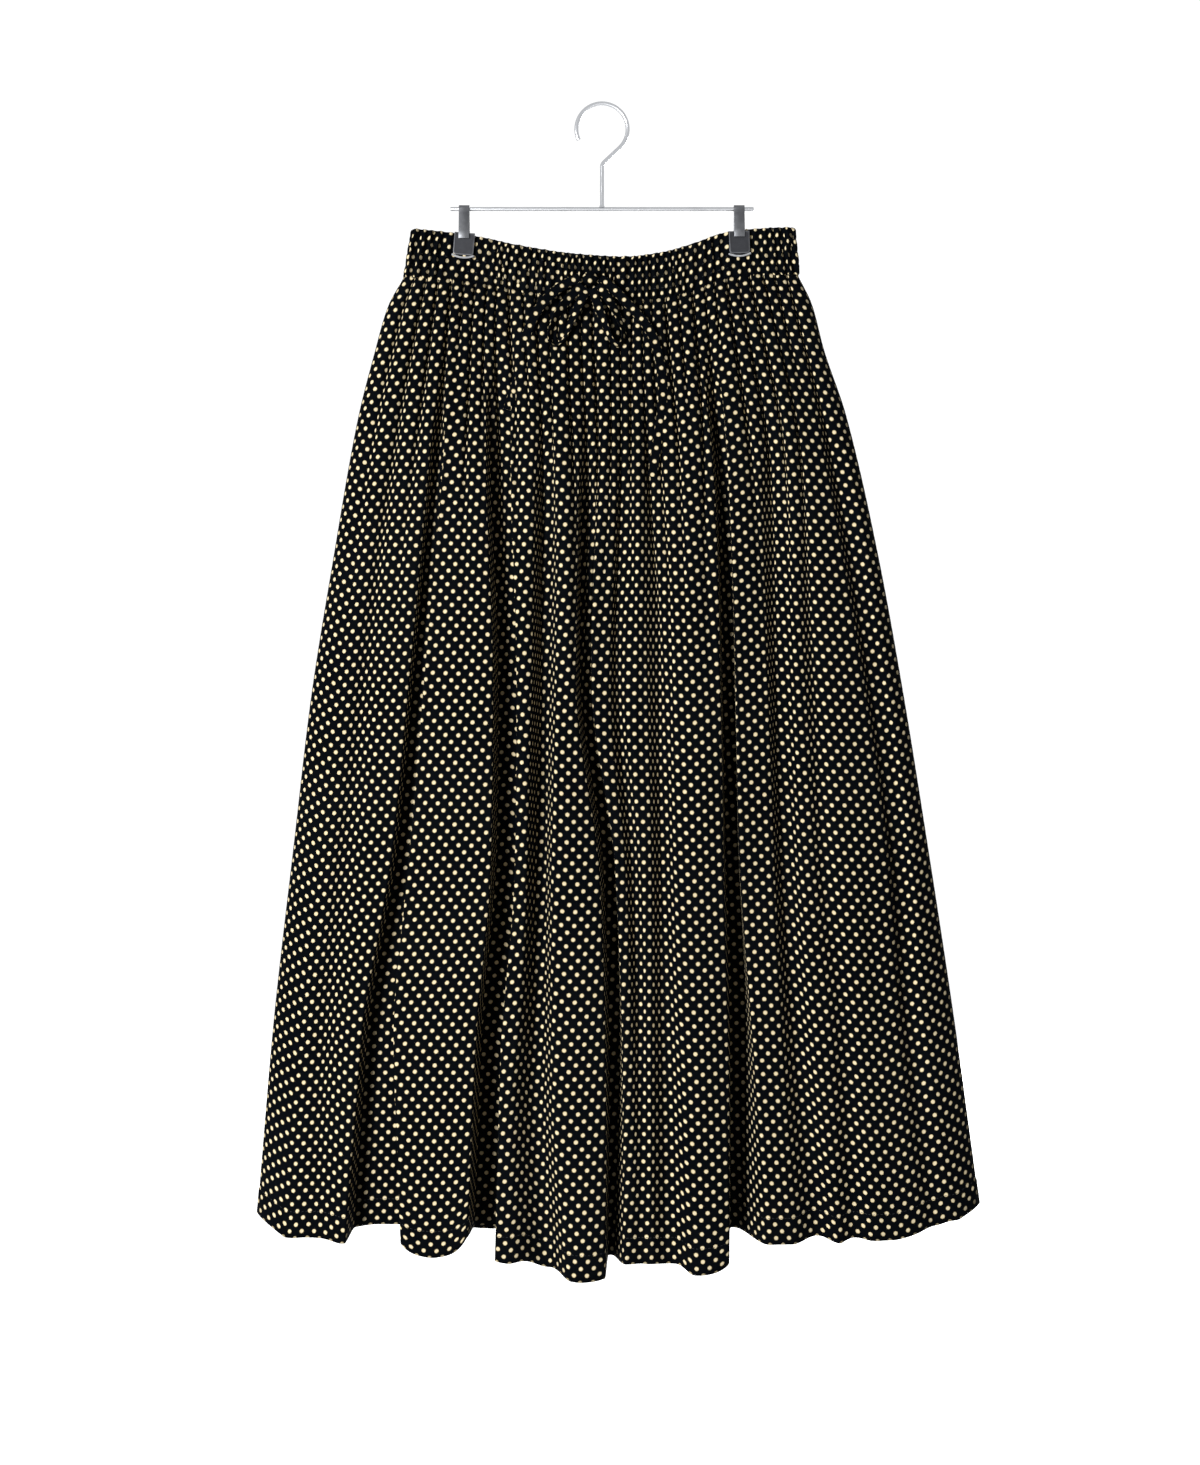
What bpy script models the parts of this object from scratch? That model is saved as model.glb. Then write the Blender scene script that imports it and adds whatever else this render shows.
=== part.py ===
"""A knee-length gathered skirt of dotted cotton, hung by its waistband from a clip hanger.

The origin is the inside of the hanger's hook, at its top. X runs to the right as the front is seen,
the front faces -Y and Z is up. Each panel is a rectangle gathered into the band, so its sections are
curves that run over folds: a table gives the outline at each level, and another the path, depth and
width of each fold. The cloth is a wall whose outer face is the section and whose inner face is the
same curve moved in by the wall's thickness.
"""

import math
from collections import namedtuple

import bmesh
import bpy
import numpy as np
from mathutils import Matrix, Vector

MM = 0.001
GAP = 0.3 * MM

# Cloth.
PANEL_WALL = 1.1 * MM
BAND_WALL = 1.5 * MM
BAND_RIPPLE = 1.3 * MM
BAND_RIPPLES = 100
BAND_SQUARENESS = 0.18
PINCH_REACH = 21.0
GATHERS = 33
GATHER_DEPTH = 8.5 * MM
WAIST_Z = -105 * MM

# Shares of the skirt's length: how far the gathers reach, over what length a fold begins, and where
# it has its figures for mid length. Then the power of a panel's section, which its sides round off.
SHORTEST_GATHER = 0.06
LONGEST_GATHER = 0.25
FOLD_BEGINS_OVER = 0.14
MID_LENGTH = 0.55
SIDE_ROUNDNESS = 4

# Hanger.
WIRE = 3.6 * MM
HOOK_INSIDE = 40 * MM
HOOK_TIP_DEGREES = 205
HOOK_END_DEGREES = -35
HOOK_STEP_DEGREES = 12
HOOK_NECK = ((6.0, 43.5), (1.2, 47.5), (0.0, 53.5))
BAR_Z = -88 * MM
BAR_HALF = 129 * MM
CLIP_WIDTH = 17.4 * MM
CLIP_HEIGHT = 19.0 * MM
CLIP_PLATE = 1.2 * MM
CLIP_CORNER = 2.6 * MM
CLIP_INSIDE = 8.6 * MM
YOKE_WIDTH = 9.0 * MM
YOKE_THICK = 1.2 * MM
YOKE_FOOT = 5.0 * MM
YOKE_KNEE = 1.5 * MM
YOKE_NECK = 4.0 * MM
LIP_THICK = 1.8 * MM
LIP_DROP = 2.2 * MM
LIP_PROUD = 0.8 * MM

# Drawstring.
CORD = 4.0 * MM
KNOT_RADII = (6.2, 4.4, 5.6)

SHARP_DEGREES = 35
GOLDEN = 0.618

# The waistband's edges below WAIST_Z, in millimetres: it hangs lower between the two clips.
WaistLine = namedtuple("WaistLine", "x top seam")
WAIST_LINE = (
    WaistLine(-165, 0.0, 41.7),
    WaistLine(-117, 4.7, 46.7),
    WaistLine(-70, 14.6, 55.0),
    WaistLine(-18, 22.1, 61.0),
    WaistLine(19, 24.1, 63.0),
    WaistLine(50, 20.5, 61.5),
    WaistLine(78, 12.8, 54.5),
    WaistLine(108, 2.6, 44.0),
    WaistLine(133, 0.0, 41.0),
    WaistLine(165, -0.8, 40.0),
)

# The waistband's sections from its seam to its top edge: ends in X, and half its depth in Y.
BandLevel = namedtuple("BandLevel", "share left right half_depth pinch")
BAND_LEVELS = (
    BandLevel(0.0, -168.3, 167.5, 7.4, 0.35),
    BandLevel(0.48, -165.0, 165.2, 7.0, 1.0),
    BandLevel(1.0, -161.5, 163.2, 6.6, 1.0),
)

# The skirt's outline at shares of its length: sides in X, depth of the fold floor, height of the
# folds above it, and how far their crests lean to the right.
Level = namedtuple("Level", "share left right floor height lean")
LEVELS = (
    Level(0.00, -169.0, 167.0, 6.5, 0.0, 0.0),
    Level(0.03, -182.0, 178.5, 8.5, 4.5, 0.0),
    Level(0.08, -193.5, 189.0, 9.5, 11.0, 1.0),
    Level(0.15, -207.5, 207.5, 10.5, 19.0, 3.0),
    Level(0.30, -228.5, 234.5, 12.0, 29.0, 5.0),
    Level(0.45, -247.5, 256.0, 13.5, 34.5, 6.0),
    Level(0.60, -261.5, 275.0, 14.5, 39.5, 6.5),
    Level(0.80, -279.5, 299.0, 16.0, 45.5, 6.0),
    Level(1.00, -293.0, 320.5, 17.0, 51.0, 4.0),
)

# Each fold line of a panel, left to right: the gather that it drops from, its X at a fifth of the
# length and each fifth below, the share where it starts, its depth against the fold height and its
# half widths to each side at mid length and at the hem, the hem's drop below WAIST_Z in it, and then
# the height and the hem's drop of the crest to its right.
PATH_SHARES = (0.0, 0.2, 0.4, 0.6, 0.8, 1.0)
Fold = namedtuple(
    "Fold",
    "gather path start mid_depth hem_depth mid_left mid_right hem_left hem_right "
    "drop crest crest_drop",
)
FRONT_FIRST_CREST = (0.62, 848.0)
FRONT_FOLDS = (
    Fold(3, (-180, -200, -218, -234, -243), 0.10, 0.22, 0.15, 14, 18, 20, 24, 847, 0.66, 849),
    Fold(6, (-143, -158, -173, -191, -187), 0.05, 0.80, 0.95, 12, 16, 30, 11, 841, 0.76, 858),
    Fold(10, (-90, -87, -92, -101, -96), 0.02, 0.95, 0.97, 9, 15, 20, 8, 841, 0.86, 866),
    Fold(12, (-53, -56, -60, -61, -59), 0.10, 0.40, 0.12, 9, 14, 12, 16, 870, 1.00, 879),
    Fold(15, (-18, -22, -3, 2, 3), 0.10, 0.60, 0.72, 9, 13, 6, 13, 868, 0.80, 868),
    Fold(17, (13, 7, 20, 26, 29), 0.06, 0.38, 0.05, 7, 10, 8, 10, 868, 0.78, 868),
    Fold(19, (36, 41, 44, 47, 52), 0.04, 0.35, 0.22, 10, 14, 16, 20, 867, 0.88, 874),
    Fold(23, (96, 100, 103, 109, 105), 0.01, 0.98, 0.96, 7, 16, 6, 20, 847, 0.66, 852),
    Fold(26, (138, 143, 148, 159, 177), 0.08, 0.55, 0.28, 10, 16, 22, 22, 848, 0.60, 851),
    Fold(28, (165, 173, 181, 198, 208), 0.30, 0.12, 0.22, 10, 14, 14, 18, 850, 0.58, 852),
    Fold(31, (194, 222, 244, 257, 278), 0.05, 0.60, 0.20, 9, 15, 16, 18, 846, 0.55, 842),
)
BACK_FIRST_CREST = (0.60, 846.0)
BACK_FOLDS = (
    Fold(3, (-175, -196, -214, -227, -236), 0.06, 0.45, 0.40, 10, 14, 14, 18, 843, 0.68, 851),
    Fold(7, (-121, -133, -149, -158, -166), 0.03, 0.85, 0.92, 10, 14, 16, 20, 842, 0.74, 859),
    Fold(11, (-70, -79, -84, -90, -86), 0.08, 0.50, 0.45, 9, 12, 14, 16, 852, 0.76, 864),
    Fold(14, (-30, -33, -37, -33, -31), 0.02, 0.90, 0.88, 9, 14, 12, 18, 849, 0.80, 868),
    Fold(18, (22, 28, 30, 35, 44), 0.06, 0.55, 0.60, 10, 14, 16, 14, 856, 0.80, 866),
    Fold(22, (72, 84, 97, 107, 113), 0.03, 0.92, 0.95, 10, 15, 14, 20, 845, 0.72, 857),
    Fold(26, (126, 143, 159, 175, 192), 0.08, 0.48, 0.42, 10, 14, 16, 16, 848, 0.66, 853),
    Fold(30, (176, 203, 227, 247, 264), 0.04, 0.75, 0.70, 10, 14, 14, 16, 838, 0.60, 842),
)
HEM_CORNER_DROPS = (835.5, 828.0)

Panel = namedtuple("Panel", "name out folds first_crest height_scale gather_shift")
PANELS = (
    Panel("skirt_front", -1, FRONT_FOLDS, FRONT_FIRST_CREST, 1.0, 0.0),
    Panel("skirt_back", 1, BACK_FOLDS, BACK_FIRST_CREST, 0.78, 0.37),
)

# Rows of the panels' meshes: the gathers end above the last dense row.
DENSE_SHARES = (0.0, 0.012, 0.035, 0.07, 0.12, 0.19)
OPEN_SHARES = (0.27, 0.36, 0.46, 0.56, 0.66, 0.76, 0.88, 1.0)
DENSE_COLUMNS = 4 * GATHERS
OPEN_COLUMNS = 2 * GATHERS
LOOP_STEPS = 2000

# The two clips: place along the bar, top of the plate and its turn as the front is seen.
Clip = namedtuple("Clip", "side x top turn")
CLIPS = (
    Clip("left", -117.1, -109.0, -5.0),
    Clip("right", 116.6, -107.6, 2.0),
)

# The drawstring's routes through hand-chosen points in millimetres, from the knot outwards.
KNOT = (-10.2, -13.6, -149.5)
CORD_ROUTES = {
    "drawstring_loop_left": (
        (-16.5, -15.0, -155.5),
        (-27.0, -18.0, -166.0),
        (-38.0, -23.5, -182.0),
        (-44.0, -25.5, -199.0),
        (-41.0, -26.0, -208.0),
        (-33.0, -25.0, -203.0),
        (-26.0, -25.0, -188.0),
        (-18.0, -21.5, -170.0),
        (-12.6, -15.5, -158.5),
    ),
    "drawstring_loop_right": (
        (-4.0, -15.0, -155.5),
        (4.0, -18.0, -166.0),
        (13.0, -22.5, -182.0),
        (18.0, -24.5, -198.0),
        (15.0, -25.0, -207.0),
        (8.0, -25.0, -203.0),
        (2.0, -25.0, -189.0),
        (-4.0, -21.5, -172.0),
        (-8.0, -15.5, -158.5),
    ),
    "drawstring_tail_left": (
        (-18.8, -14.0, -149.0),
        (-30.0, -15.5, -154.0),
        (-42.0, -18.5, -163.0),
        (-52.0, -23.5, -175.0),
        (-61.0, -24.5, -192.0),
        (-68.0, -24.5, -214.0),
        (-72.0, -25.0, -238.0),
        (-79.0, -26.0, -262.0),
    ),
    "drawstring_tail_right": (
        (-1.6, -14.0, -149.5),
        (8.0, -15.5, -157.0),
        (20.0, -19.5, -170.0),
        (32.0, -24.0, -184.0),
        (42.0, -25.0, -199.0),
        (48.0, -26.0, -218.0),
        (51.0, -28.0, -240.0),
        (50.0, -30.5, -264.0),
        (46.0, -32.0, -292.0),
        (42.0, -33.5, -319.0),
    ),
}

Look = namedtuple("Look", "name colour roughness metallic")
DOTTED_COTTON = Look("dotted_cotton", (0.016, 0.019, 0.028), 0.85, 0.0)
HANGER_WIRE = Look("hanger_wire", (0.62, 0.63, 0.65), 0.3, 1.0)
CLIP_METAL = Look("clip_metal", (0.09, 0.09, 0.10), 0.4, 1.0)
CLIP_LIP = Look("clip_lip", (0.55, 0.56, 0.58), 0.5, 0.0)


def smooth(at, xs, ys):
    """Heights at `at` of the smooth curve through (xs, ys), which doesn't overshoot its points."""
    xs = np.asarray(xs, float)
    ys = np.asarray(ys, float)
    steps = np.diff(xs)
    rises = np.diff(ys) / steps
    slopes = np.zeros(len(xs))
    slopes[0] = rises[0]
    slopes[-1] = rises[-1]
    together = rises[:-1] * rises[1:] > 0
    product = 2 * rises[:-1] * rises[1:]
    total = np.where(together, rises[:-1] + rises[1:], 1.0)
    slopes[1:-1] = np.where(together, product / total, 0.0)
    at = np.clip(np.asarray(at, float), xs[0], xs[-1])
    span = np.clip(np.searchsorted(xs, at, side="right") - 1, 0, len(steps) - 1)
    width = steps[span]
    u = (at - xs[span]) / width
    rise = ys[span + 1] - ys[span]
    start = slopes[span] * width
    end = slopes[span + 1] * width
    return ys[span] + u * (start + u * (3 * rise - 2 * start - end + u * (start + end - 2 * rise)))


def column(rows, field):
    return [getattr(row, field) for row in rows]


def band_edge(x, field):
    """Z of the waistband's top edge or of its seam at X."""
    drop = smooth(x / MM, column(WAIST_LINE, "x"), column(WAIST_LINE, field))
    return WAIST_Z - drop * MM


def level(share, field):
    return smooth(share, column(LEVELS, "share"), column(LEVELS, field)) * MM


def gather_depths(share, shift):
    """How far each gather still stands out at this share of the length: they fade unevenly."""
    number = np.arange(GATHERS)
    uneven = np.mod((number + shift) * GOLDEN, 1.0)
    reach = SHORTEST_GATHER + (LONGEST_GATHER - SHORTEST_GATHER) * uneven**1.5
    swell = smooth(share, DENSE_SHARES[:3], (0.35, 1.0, 1.0))
    height = GATHER_DEPTH * (0.85 + 0.3 * uneven)
    return swell * height * np.exp(-((share / reach) ** 1.6))


def fold_value(share, start, middle, end):
    """A fold's figure down its length: its value at mid length, and the one it has at the hem."""
    begun = smooth(share, (start, start + FOLD_BEGINS_OVER), (0.0, 1.0))
    return begun * smooth(share, (0.0, MID_LENGTH, 1.0), (middle, middle, end))


def valley(distance, left, right):
    """1 on the fold line, 0 at its half width to each side, and round between."""
    reach = np.where(distance < 0, left, right)
    return 0.5 + 0.5 * np.cos(math.pi * np.clip(distance / reach, -1.0, 1.0))


def fold_marks(panel):
    """Where the folds, and the crests between them, are across the panel."""
    marks = [0.0] + [fold.gather / GATHERS for fold in panel.folds] + [1.0]
    crests = [(a + b) / 2 for a, b in zip(marks, marks[1:])]
    return marks, crests


def section(panel, across, share):
    """The panel's outer face at one share of its length, as arrays of X, Y and Z."""
    left = level(share, "left")
    right = level(share, "right")
    marks, crests = fold_marks(panel)
    top_left = level(0.0, "left")
    top_right = level(0.0, "right")
    lines = []
    for fold in panel.folds:
        at_top = (top_left + fold.gather / GATHERS * (top_right - top_left)) / MM
        lines.append(smooth(share, PATH_SHARES, (at_top, *fold.path)) * MM)
    flat_x = smooth(across, marks, [left, *lines, right])
    depth = np.zeros_like(across)
    inside = np.zeros_like(across)
    for fold, line in zip(panel.folds, lines):
        to_left = fold_value(share, -1.0, fold.mid_left, fold.hem_left) * MM
        to_right = fold_value(share, -1.0, fold.mid_right, fold.hem_right) * MM
        near = valley(flat_x - line, to_left, to_right)
        deep = fold_value(share, fold.start, fold.mid_depth, fold.hem_depth)
        inside = np.maximum(inside, near)
        depth = np.maximum(depth, near * deep)
    crest = smooth(across, crests, [panel.first_crest[0]] + column(panel.folds, "crest"))
    side = 2 * (flat_x - left) / (right - left) - 1
    rounding = np.sqrt(np.clip(1 - side**SIDE_ROUNDNESS, 0.0, 1.0))
    number = np.clip((across * GATHERS).astype(int), 0, GATHERS - 1)
    standing = gather_depths(share, panel.gather_shift)[number]
    gather = standing * (0.5 - 0.5 * np.cos(2 * math.pi * across * GATHERS))
    height = level(share, "height") * panel.height_scale
    out = rounding * (level(share, "floor") + height * crest * (1 - depth) + gather)
    x = flat_x + level(share, "lean") * rounding * crest * (1 - inside)
    y = panel.out * (out + GAP / 2)
    top = band_edge(smooth(across, (0.0, 1.0), (top_left, top_right)), "seam") - GAP
    drops = [HEM_CORNER_DROPS[0]] + column(panel.folds, "drop") + [HEM_CORNER_DROPS[1]]
    crest_drops = [panel.first_crest[1]] + column(panel.folds, "crest_drop")
    crest_drops = [HEM_CORNER_DROPS[0], *crest_drops, HEM_CORNER_DROPS[1]]
    crest_drop = smooth(across, [0.0, *crests, 1.0], crest_drops)
    drop = (1 - inside) * crest_drop + inside * smooth(across, marks, drops)
    z = top + share * (WAIST_Z - drop * MM - top)
    return x, y, z


def moved_in(x, y, wall, inward, closed):
    """The curve (x, y) moved by `wall` to the side that `inward` names, with mitred corners."""
    points = np.stack([x, y], axis=1)
    if closed:
        before = points - np.roll(points, 1, axis=0)
        after = np.roll(points, -1, axis=0) - points
    else:
        runs = np.diff(points, axis=0)
        before = np.concatenate([runs[:1], runs])
        after = np.concatenate([runs, runs[-1:]])
    before /= np.linalg.norm(before, axis=1)[:, None]
    after /= np.linalg.norm(after, axis=1)[:, None]
    along = before + after
    along /= np.maximum(np.linalg.norm(along, axis=1), 1e-9)[:, None]
    across = inward * np.stack([-along[:, 1], along[:, 0]], axis=1)
    normal = inward * np.stack([-before[:, 1], before[:, 0]], axis=1)
    lean = np.clip((across * normal).sum(axis=1), 0.5, 1.0)
    moved = points + across * (wall / lean)[:, None]
    return moved[:, 0], moved[:, 1]


def join_rows(bm, upper, lower):
    """Faces between two rows of vertices, the lower as many or half as many spans."""
    if len(upper) == len(lower):
        for i in range(len(lower) - 1):
            bm.faces.new((upper[i], lower[i], lower[i + 1], upper[i + 1]))
        return
    for i in range(len(lower) - 1):
        bm.faces.new((upper[2 * i], lower[i], upper[2 * i + 1]))
        bm.faces.new((upper[2 * i + 1], lower[i], lower[i + 1]))
        bm.faces.new((upper[2 * i + 1], lower[i + 1], upper[2 * i + 2]))


def material(look):
    made = bpy.data.materials.get(look.name)
    if made:
        return made
    made = bpy.data.materials.new(look.name)
    made.use_nodes = True
    shader = made.node_tree.nodes["Principled BSDF"]
    shader.inputs["Base Color"].default_value = (*look.colour, 1.0)
    shader.inputs["Roughness"].default_value = look.roughness
    shader.inputs["Metallic"].default_value = look.metallic
    made.diffuse_color = (*look.colour, 1.0)
    return made


def add_object(name, data, look):
    data.materials.append(material(look))
    obj = bpy.data.objects.new(name, data)
    bpy.data.collections["gathered_skirt"].objects.link(obj)
    return obj


def add_mesh(name, bm, look):
    bmesh.ops.recalc_face_normals(bm, faces=bm.faces)
    mesh = bpy.data.meshes.new(name)
    bm.to_mesh(mesh)
    bm.free()
    mesh.shade_smooth()
    mesh.set_sharp_from_angle(angle=math.radians(SHARP_DEGREES))
    return add_object(name, mesh, look)


def build_panel(panel):
    """A rectangle of cloth, gathered at its top: outer and inner rows joined at their rims."""
    bm = bmesh.new()
    outer = []
    inner = []
    for share in DENSE_SHARES + OPEN_SHARES:
        spans = DENSE_COLUMNS if share in DENSE_SHARES else OPEN_COLUMNS
        across = np.linspace(0.0, 1.0, spans + 1)
        x, y, z = section(panel, across, share)
        inner_x, inner_y = moved_in(x, y, PANEL_WALL, -panel.out, False)
        inner_x[0] = x[0] + PANEL_WALL
        inner_x[-1] = x[-1] - PANEL_WALL
        inner_y[0] = y[0]
        inner_y[-1] = y[-1]
        outer.append([bm.verts.new(point) for point in zip(x, y, z)])
        inner.append([bm.verts.new(point) for point in zip(inner_x, inner_y, z)])
    for upper, lower in zip(outer, outer[1:]):
        join_rows(bm, upper, lower)
    for upper, lower in zip(inner, inner[1:]):
        join_rows(bm, upper, lower)
    for row in (0, -1):
        join_rows(bm, outer[row], inner[row])
    for end in (0, -1):
        join_rows(bm, [row[end] for row in outer], [row[end] for row in inner])
    return add_mesh(panel.name, bm, DOTTED_COTTON)


def band_figure(share, field):
    return float(smooth(share, column(BAND_LEVELS, "share"), column(BAND_LEVELS, field)))


def squared(wave):
    """A sine or cosine drawn out towards its ends, so that the loop it makes is a flat one."""
    return np.sign(wave) * np.abs(wave) ** BAND_SQUARENESS


def band_loop(share):
    """One level of the waistband: points evenly spaced round a flat loop, pinched by the clips."""
    left = band_figure(share, "left")
    right = band_figure(share, "right")
    half = band_figure(share, "half_depth")
    turn = np.arange(LOOP_STEPS) / LOOP_STEPS * 2 * math.pi
    x = (left + right) / 2 - (right - left) / 2 * squared(np.cos(turn))
    y = -half * squared(np.sin(turn))
    held = (CLIP_INSIDE / 2 - BAND_RIPPLE - 1.5 * GAP) / MM
    for clip in CLIPS:
        near = np.exp(-(((x - clip.x) / PINCH_REACH) ** 4))
        y *= 1 - near * band_figure(share, "pinch") * (1 - held / half)
    points = np.stack([x, y], axis=1) * MM
    runs = np.linalg.norm(np.roll(points, -1, axis=0) - points, axis=1)
    length = np.concatenate([[0.0], np.cumsum(runs)])
    at = np.arange(2 * BAND_RIPPLES) / (2 * BAND_RIPPLES) * length[-1]
    closed = np.concatenate([points, points[:1]])
    return np.interp(at, length, closed[:, 0]), np.interp(at, length, closed[:, 1])


def build_waistband():
    """A loop of shirred casing: ripples raised on its outer face over a plain inner one."""
    bm = bmesh.new()
    outer = []
    inner = []
    for share in column(BAND_LEVELS, "share"):
        x, y = band_loop(share)
        z = band_edge(x, "seam") + share * (band_edge(x, "top") - band_edge(x, "seam"))
        out_x, out_y = moved_in(x, y, BAND_RIPPLE, -1, True)
        raised = np.arange(len(x)) % 2 == 0
        out_x = np.where(raised, out_x, x)
        out_y = np.where(raised, out_y, y)
        in_x, in_y = moved_in(x, y, BAND_WALL, 1, True)
        outer.append([bm.verts.new(point) for point in zip(out_x, out_y, z)])
        inner.append([bm.verts.new(point) for point in zip(in_x, in_y, z)])
    loops = [row + row[:1] for row in outer + inner[::-1]]
    for first, second in zip(loops, loops[1:] + loops[:1]):
        join_rows(bm, first, second)
    return add_mesh("waistband", bm, DOTTED_COTTON)


def smooth_route(points, spacing):
    """Points at even spacing on a smooth curve through the given ones."""
    given = np.array(points, float) * MM
    ends = np.concatenate([[2 * given[0] - given[1]], given, [2 * given[-1] - given[-2]]])
    fine = []
    for i in range(1, len(ends) - 2):
        before, start, end, after = ends[i - 1 : i + 3]
        for u in np.linspace(0.0, 1.0, 12, endpoint=False):
            fine.append(
                0.5
                * (
                    2 * start
                    + (end - before) * u
                    + (2 * before - 5 * start + 4 * end - after) * u**2
                    + (3 * start - before - 3 * end + after) * u**3
                )
            )
    fine.append(ends[-2])
    fine = np.array(fine)
    length = np.concatenate([[0.0], np.cumsum(np.linalg.norm(np.diff(fine, axis=0), axis=1))])
    count = max(2, round(length[-1] / spacing))
    at = np.linspace(0.0, length[-1], count + 1)
    return [Vector([np.interp(d, length, fine[:, axis]) for axis in range(3)]) for d in at]


def wire_curve(name, points, diameter):
    """A round wire along the points, with filled ends."""
    curve = bpy.data.curves.new(name, "CURVE")
    curve.dimensions = "3D"
    curve.bevel_depth = diameter / 2
    curve.bevel_resolution = 2
    curve.use_fill_caps = True
    spline = curve.splines.new("POLY")
    spline.points.add(len(points) - 1)
    for point, place in zip(spline.points, points):
        point.co = (*place, 1.0)
    return curve


def build_drawstring():
    for name, points in CORD_ROUTES.items():
        add_object(name, wire_curve(name, smooth_route(points, 2 * CORD), CORD), DOTTED_COTTON)
    bm = bmesh.new()
    bmesh.ops.create_uvsphere(bm, u_segments=12, v_segments=8, radius=1.0)
    bmesh.ops.scale(bm, vec=Vector(KNOT_RADII) * MM, verts=bm.verts)
    bmesh.ops.translate(bm, vec=Vector(KNOT) * MM, verts=bm.verts)
    add_mesh("drawstring_knot", bm, DOTTED_COTTON)


def mesh_from_curve(name, curve):
    """A closed mesh of the curve, its caps welded, for a join."""
    holder = bpy.data.objects.new(name, curve)
    bpy.data.collections["gathered_skirt"].objects.link(holder)
    bpy.context.view_layer.update()
    graph = bpy.context.evaluated_depsgraph_get()
    mesh = bpy.data.meshes.new_from_object(holder.evaluated_get(graph))
    bpy.data.objects.remove(holder)
    bm = bmesh.new()
    bm.from_mesh(mesh)
    bmesh.ops.remove_doubles(bm, verts=bm.verts, dist=0.00001)
    bmesh.ops.recalc_face_normals(bm, faces=bm.faces)
    bm.to_mesh(mesh)
    bm.free()
    return mesh


def hook_route():
    """From the hook's tip over its top and back to the middle, then down to the bar."""
    radius = HOOK_INSIDE / 2 + WIRE / 2
    centre = -HOOK_INSIDE / 2
    points = []
    for degrees in range(HOOK_TIP_DEGREES, HOOK_END_DEGREES - 1, -HOOK_STEP_DEGREES):
        turn = math.radians(degrees)
        points.append(Vector((radius * math.cos(turn), 0, centre + radius * math.sin(turn))))
    for x, drop in HOOK_NECK:
        points.append(Vector((x * MM, 0, -drop * MM)))
    points.append(Vector((0, 0, BAR_Z)))
    return points


def build_hanger_wire():
    """The hook and its stem, joined to the bar that carries the clips."""
    hook = mesh_from_curve("hanger_wire", wire_curve("hook", hook_route(), WIRE))
    wire = add_object("hanger_wire", hook, HANGER_WIRE)
    ends = [Vector((-BAR_HALF, 0, BAR_Z)), Vector((BAR_HALF, 0, BAR_Z))]
    bar_mesh = mesh_from_curve("bar_form", wire_curve("bar", ends, WIRE))
    bar = bpy.data.objects.new("bar_form", bar_mesh)
    bpy.data.collections["helpers"].objects.link(bar)
    bar.hide_render = True
    bar.display_type = "WIRE"
    union = wire.modifiers.new("bar", "BOOLEAN")
    union.operation = "UNION"
    union.object = bar
    wire.data.shade_smooth()


def clip_turn(clip):
    pivot = Vector((clip.x * MM, 0, clip.top * MM - CLIP_HEIGHT / 2))
    turn = Matrix.Rotation(math.radians(-clip.turn), 4, "Y")
    return Matrix.Translation(pivot) @ turn @ Matrix.Translation(-pivot)


def build_plate(clip, name, out):
    """One gripping plate of a clip, round at its lower corners."""
    bm = bmesh.new()
    bmesh.ops.create_cube(bm, size=1.0)
    bmesh.ops.scale(bm, vec=(CLIP_WIDTH, CLIP_PLATE, CLIP_HEIGHT), verts=bm.verts)
    corners = []
    for edge in bm.edges:
        start, end = (vert.co for vert in edge.verts)
        if start.z < 0 and end.z < 0 and abs(start.y - end.y) > CLIP_PLATE / 2:
            corners.append(edge)
    bmesh.ops.bevel(bm, geom=corners, offset=CLIP_CORNER, segments=3, profile=0.5, affect="EDGES")
    middle = out * (CLIP_INSIDE / 2 + CLIP_PLATE / 2)
    place = Vector((clip.x * MM, middle, clip.top * MM - CLIP_HEIGHT / 2))
    bmesh.ops.translate(bm, vec=place, verts=bm.verts)
    bmesh.ops.transform(bm, matrix=clip_turn(clip), verts=bm.verts)
    add_mesh(name, bm, CLIP_METAL)


def yoke_line(clip):
    """The yoke's inner line as the side is seen, from the front plate over the bar to the back one."""
    plate_face = CLIP_INSIDE / 2 + CLIP_PLATE + GAP
    over_bar = WIRE / 2 + GAP
    foot = clip.top * MM - YOKE_FOOT
    knee = clip.top * MM + YOKE_KNEE
    neck = BAR_Z - YOKE_NECK
    line = [(-plate_face, foot), (-plate_face, knee), (-over_bar, neck)]
    for degrees in range(180, -1, -30):
        turn = math.radians(degrees)
        line.append((over_bar * math.cos(turn), BAR_Z + over_bar * math.sin(turn)))
    line += [(over_bar, neck), (plate_face, knee), (plate_face, foot)]
    return np.array(line)


def build_yoke(clip):
    """A bent strip that hangs a clip's two plates on the bar."""
    line = yoke_line(clip)
    outer_y, outer_z = moved_in(line[:, 0], line[:, 1], YOKE_THICK, 1, False)
    bm = bmesh.new()
    left = clip.x * MM - YOKE_WIDTH / 2
    inner = [bm.verts.new((left, y, z)) for y, z in line]
    outer = [bm.verts.new((left, y, z)) for y, z in zip(outer_y, outer_z)]
    join_rows(bm, inner, outer)
    made = bmesh.ops.extrude_face_region(bm, geom=list(bm.faces))
    moved = [item for item in made["geom"] if isinstance(item, bmesh.types.BMVert)]
    bmesh.ops.translate(bm, vec=(YOKE_WIDTH, 0, 0), verts=moved)
    add_mesh(f"clip_{clip.side}_yoke", bm, CLIP_METAL)


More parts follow.
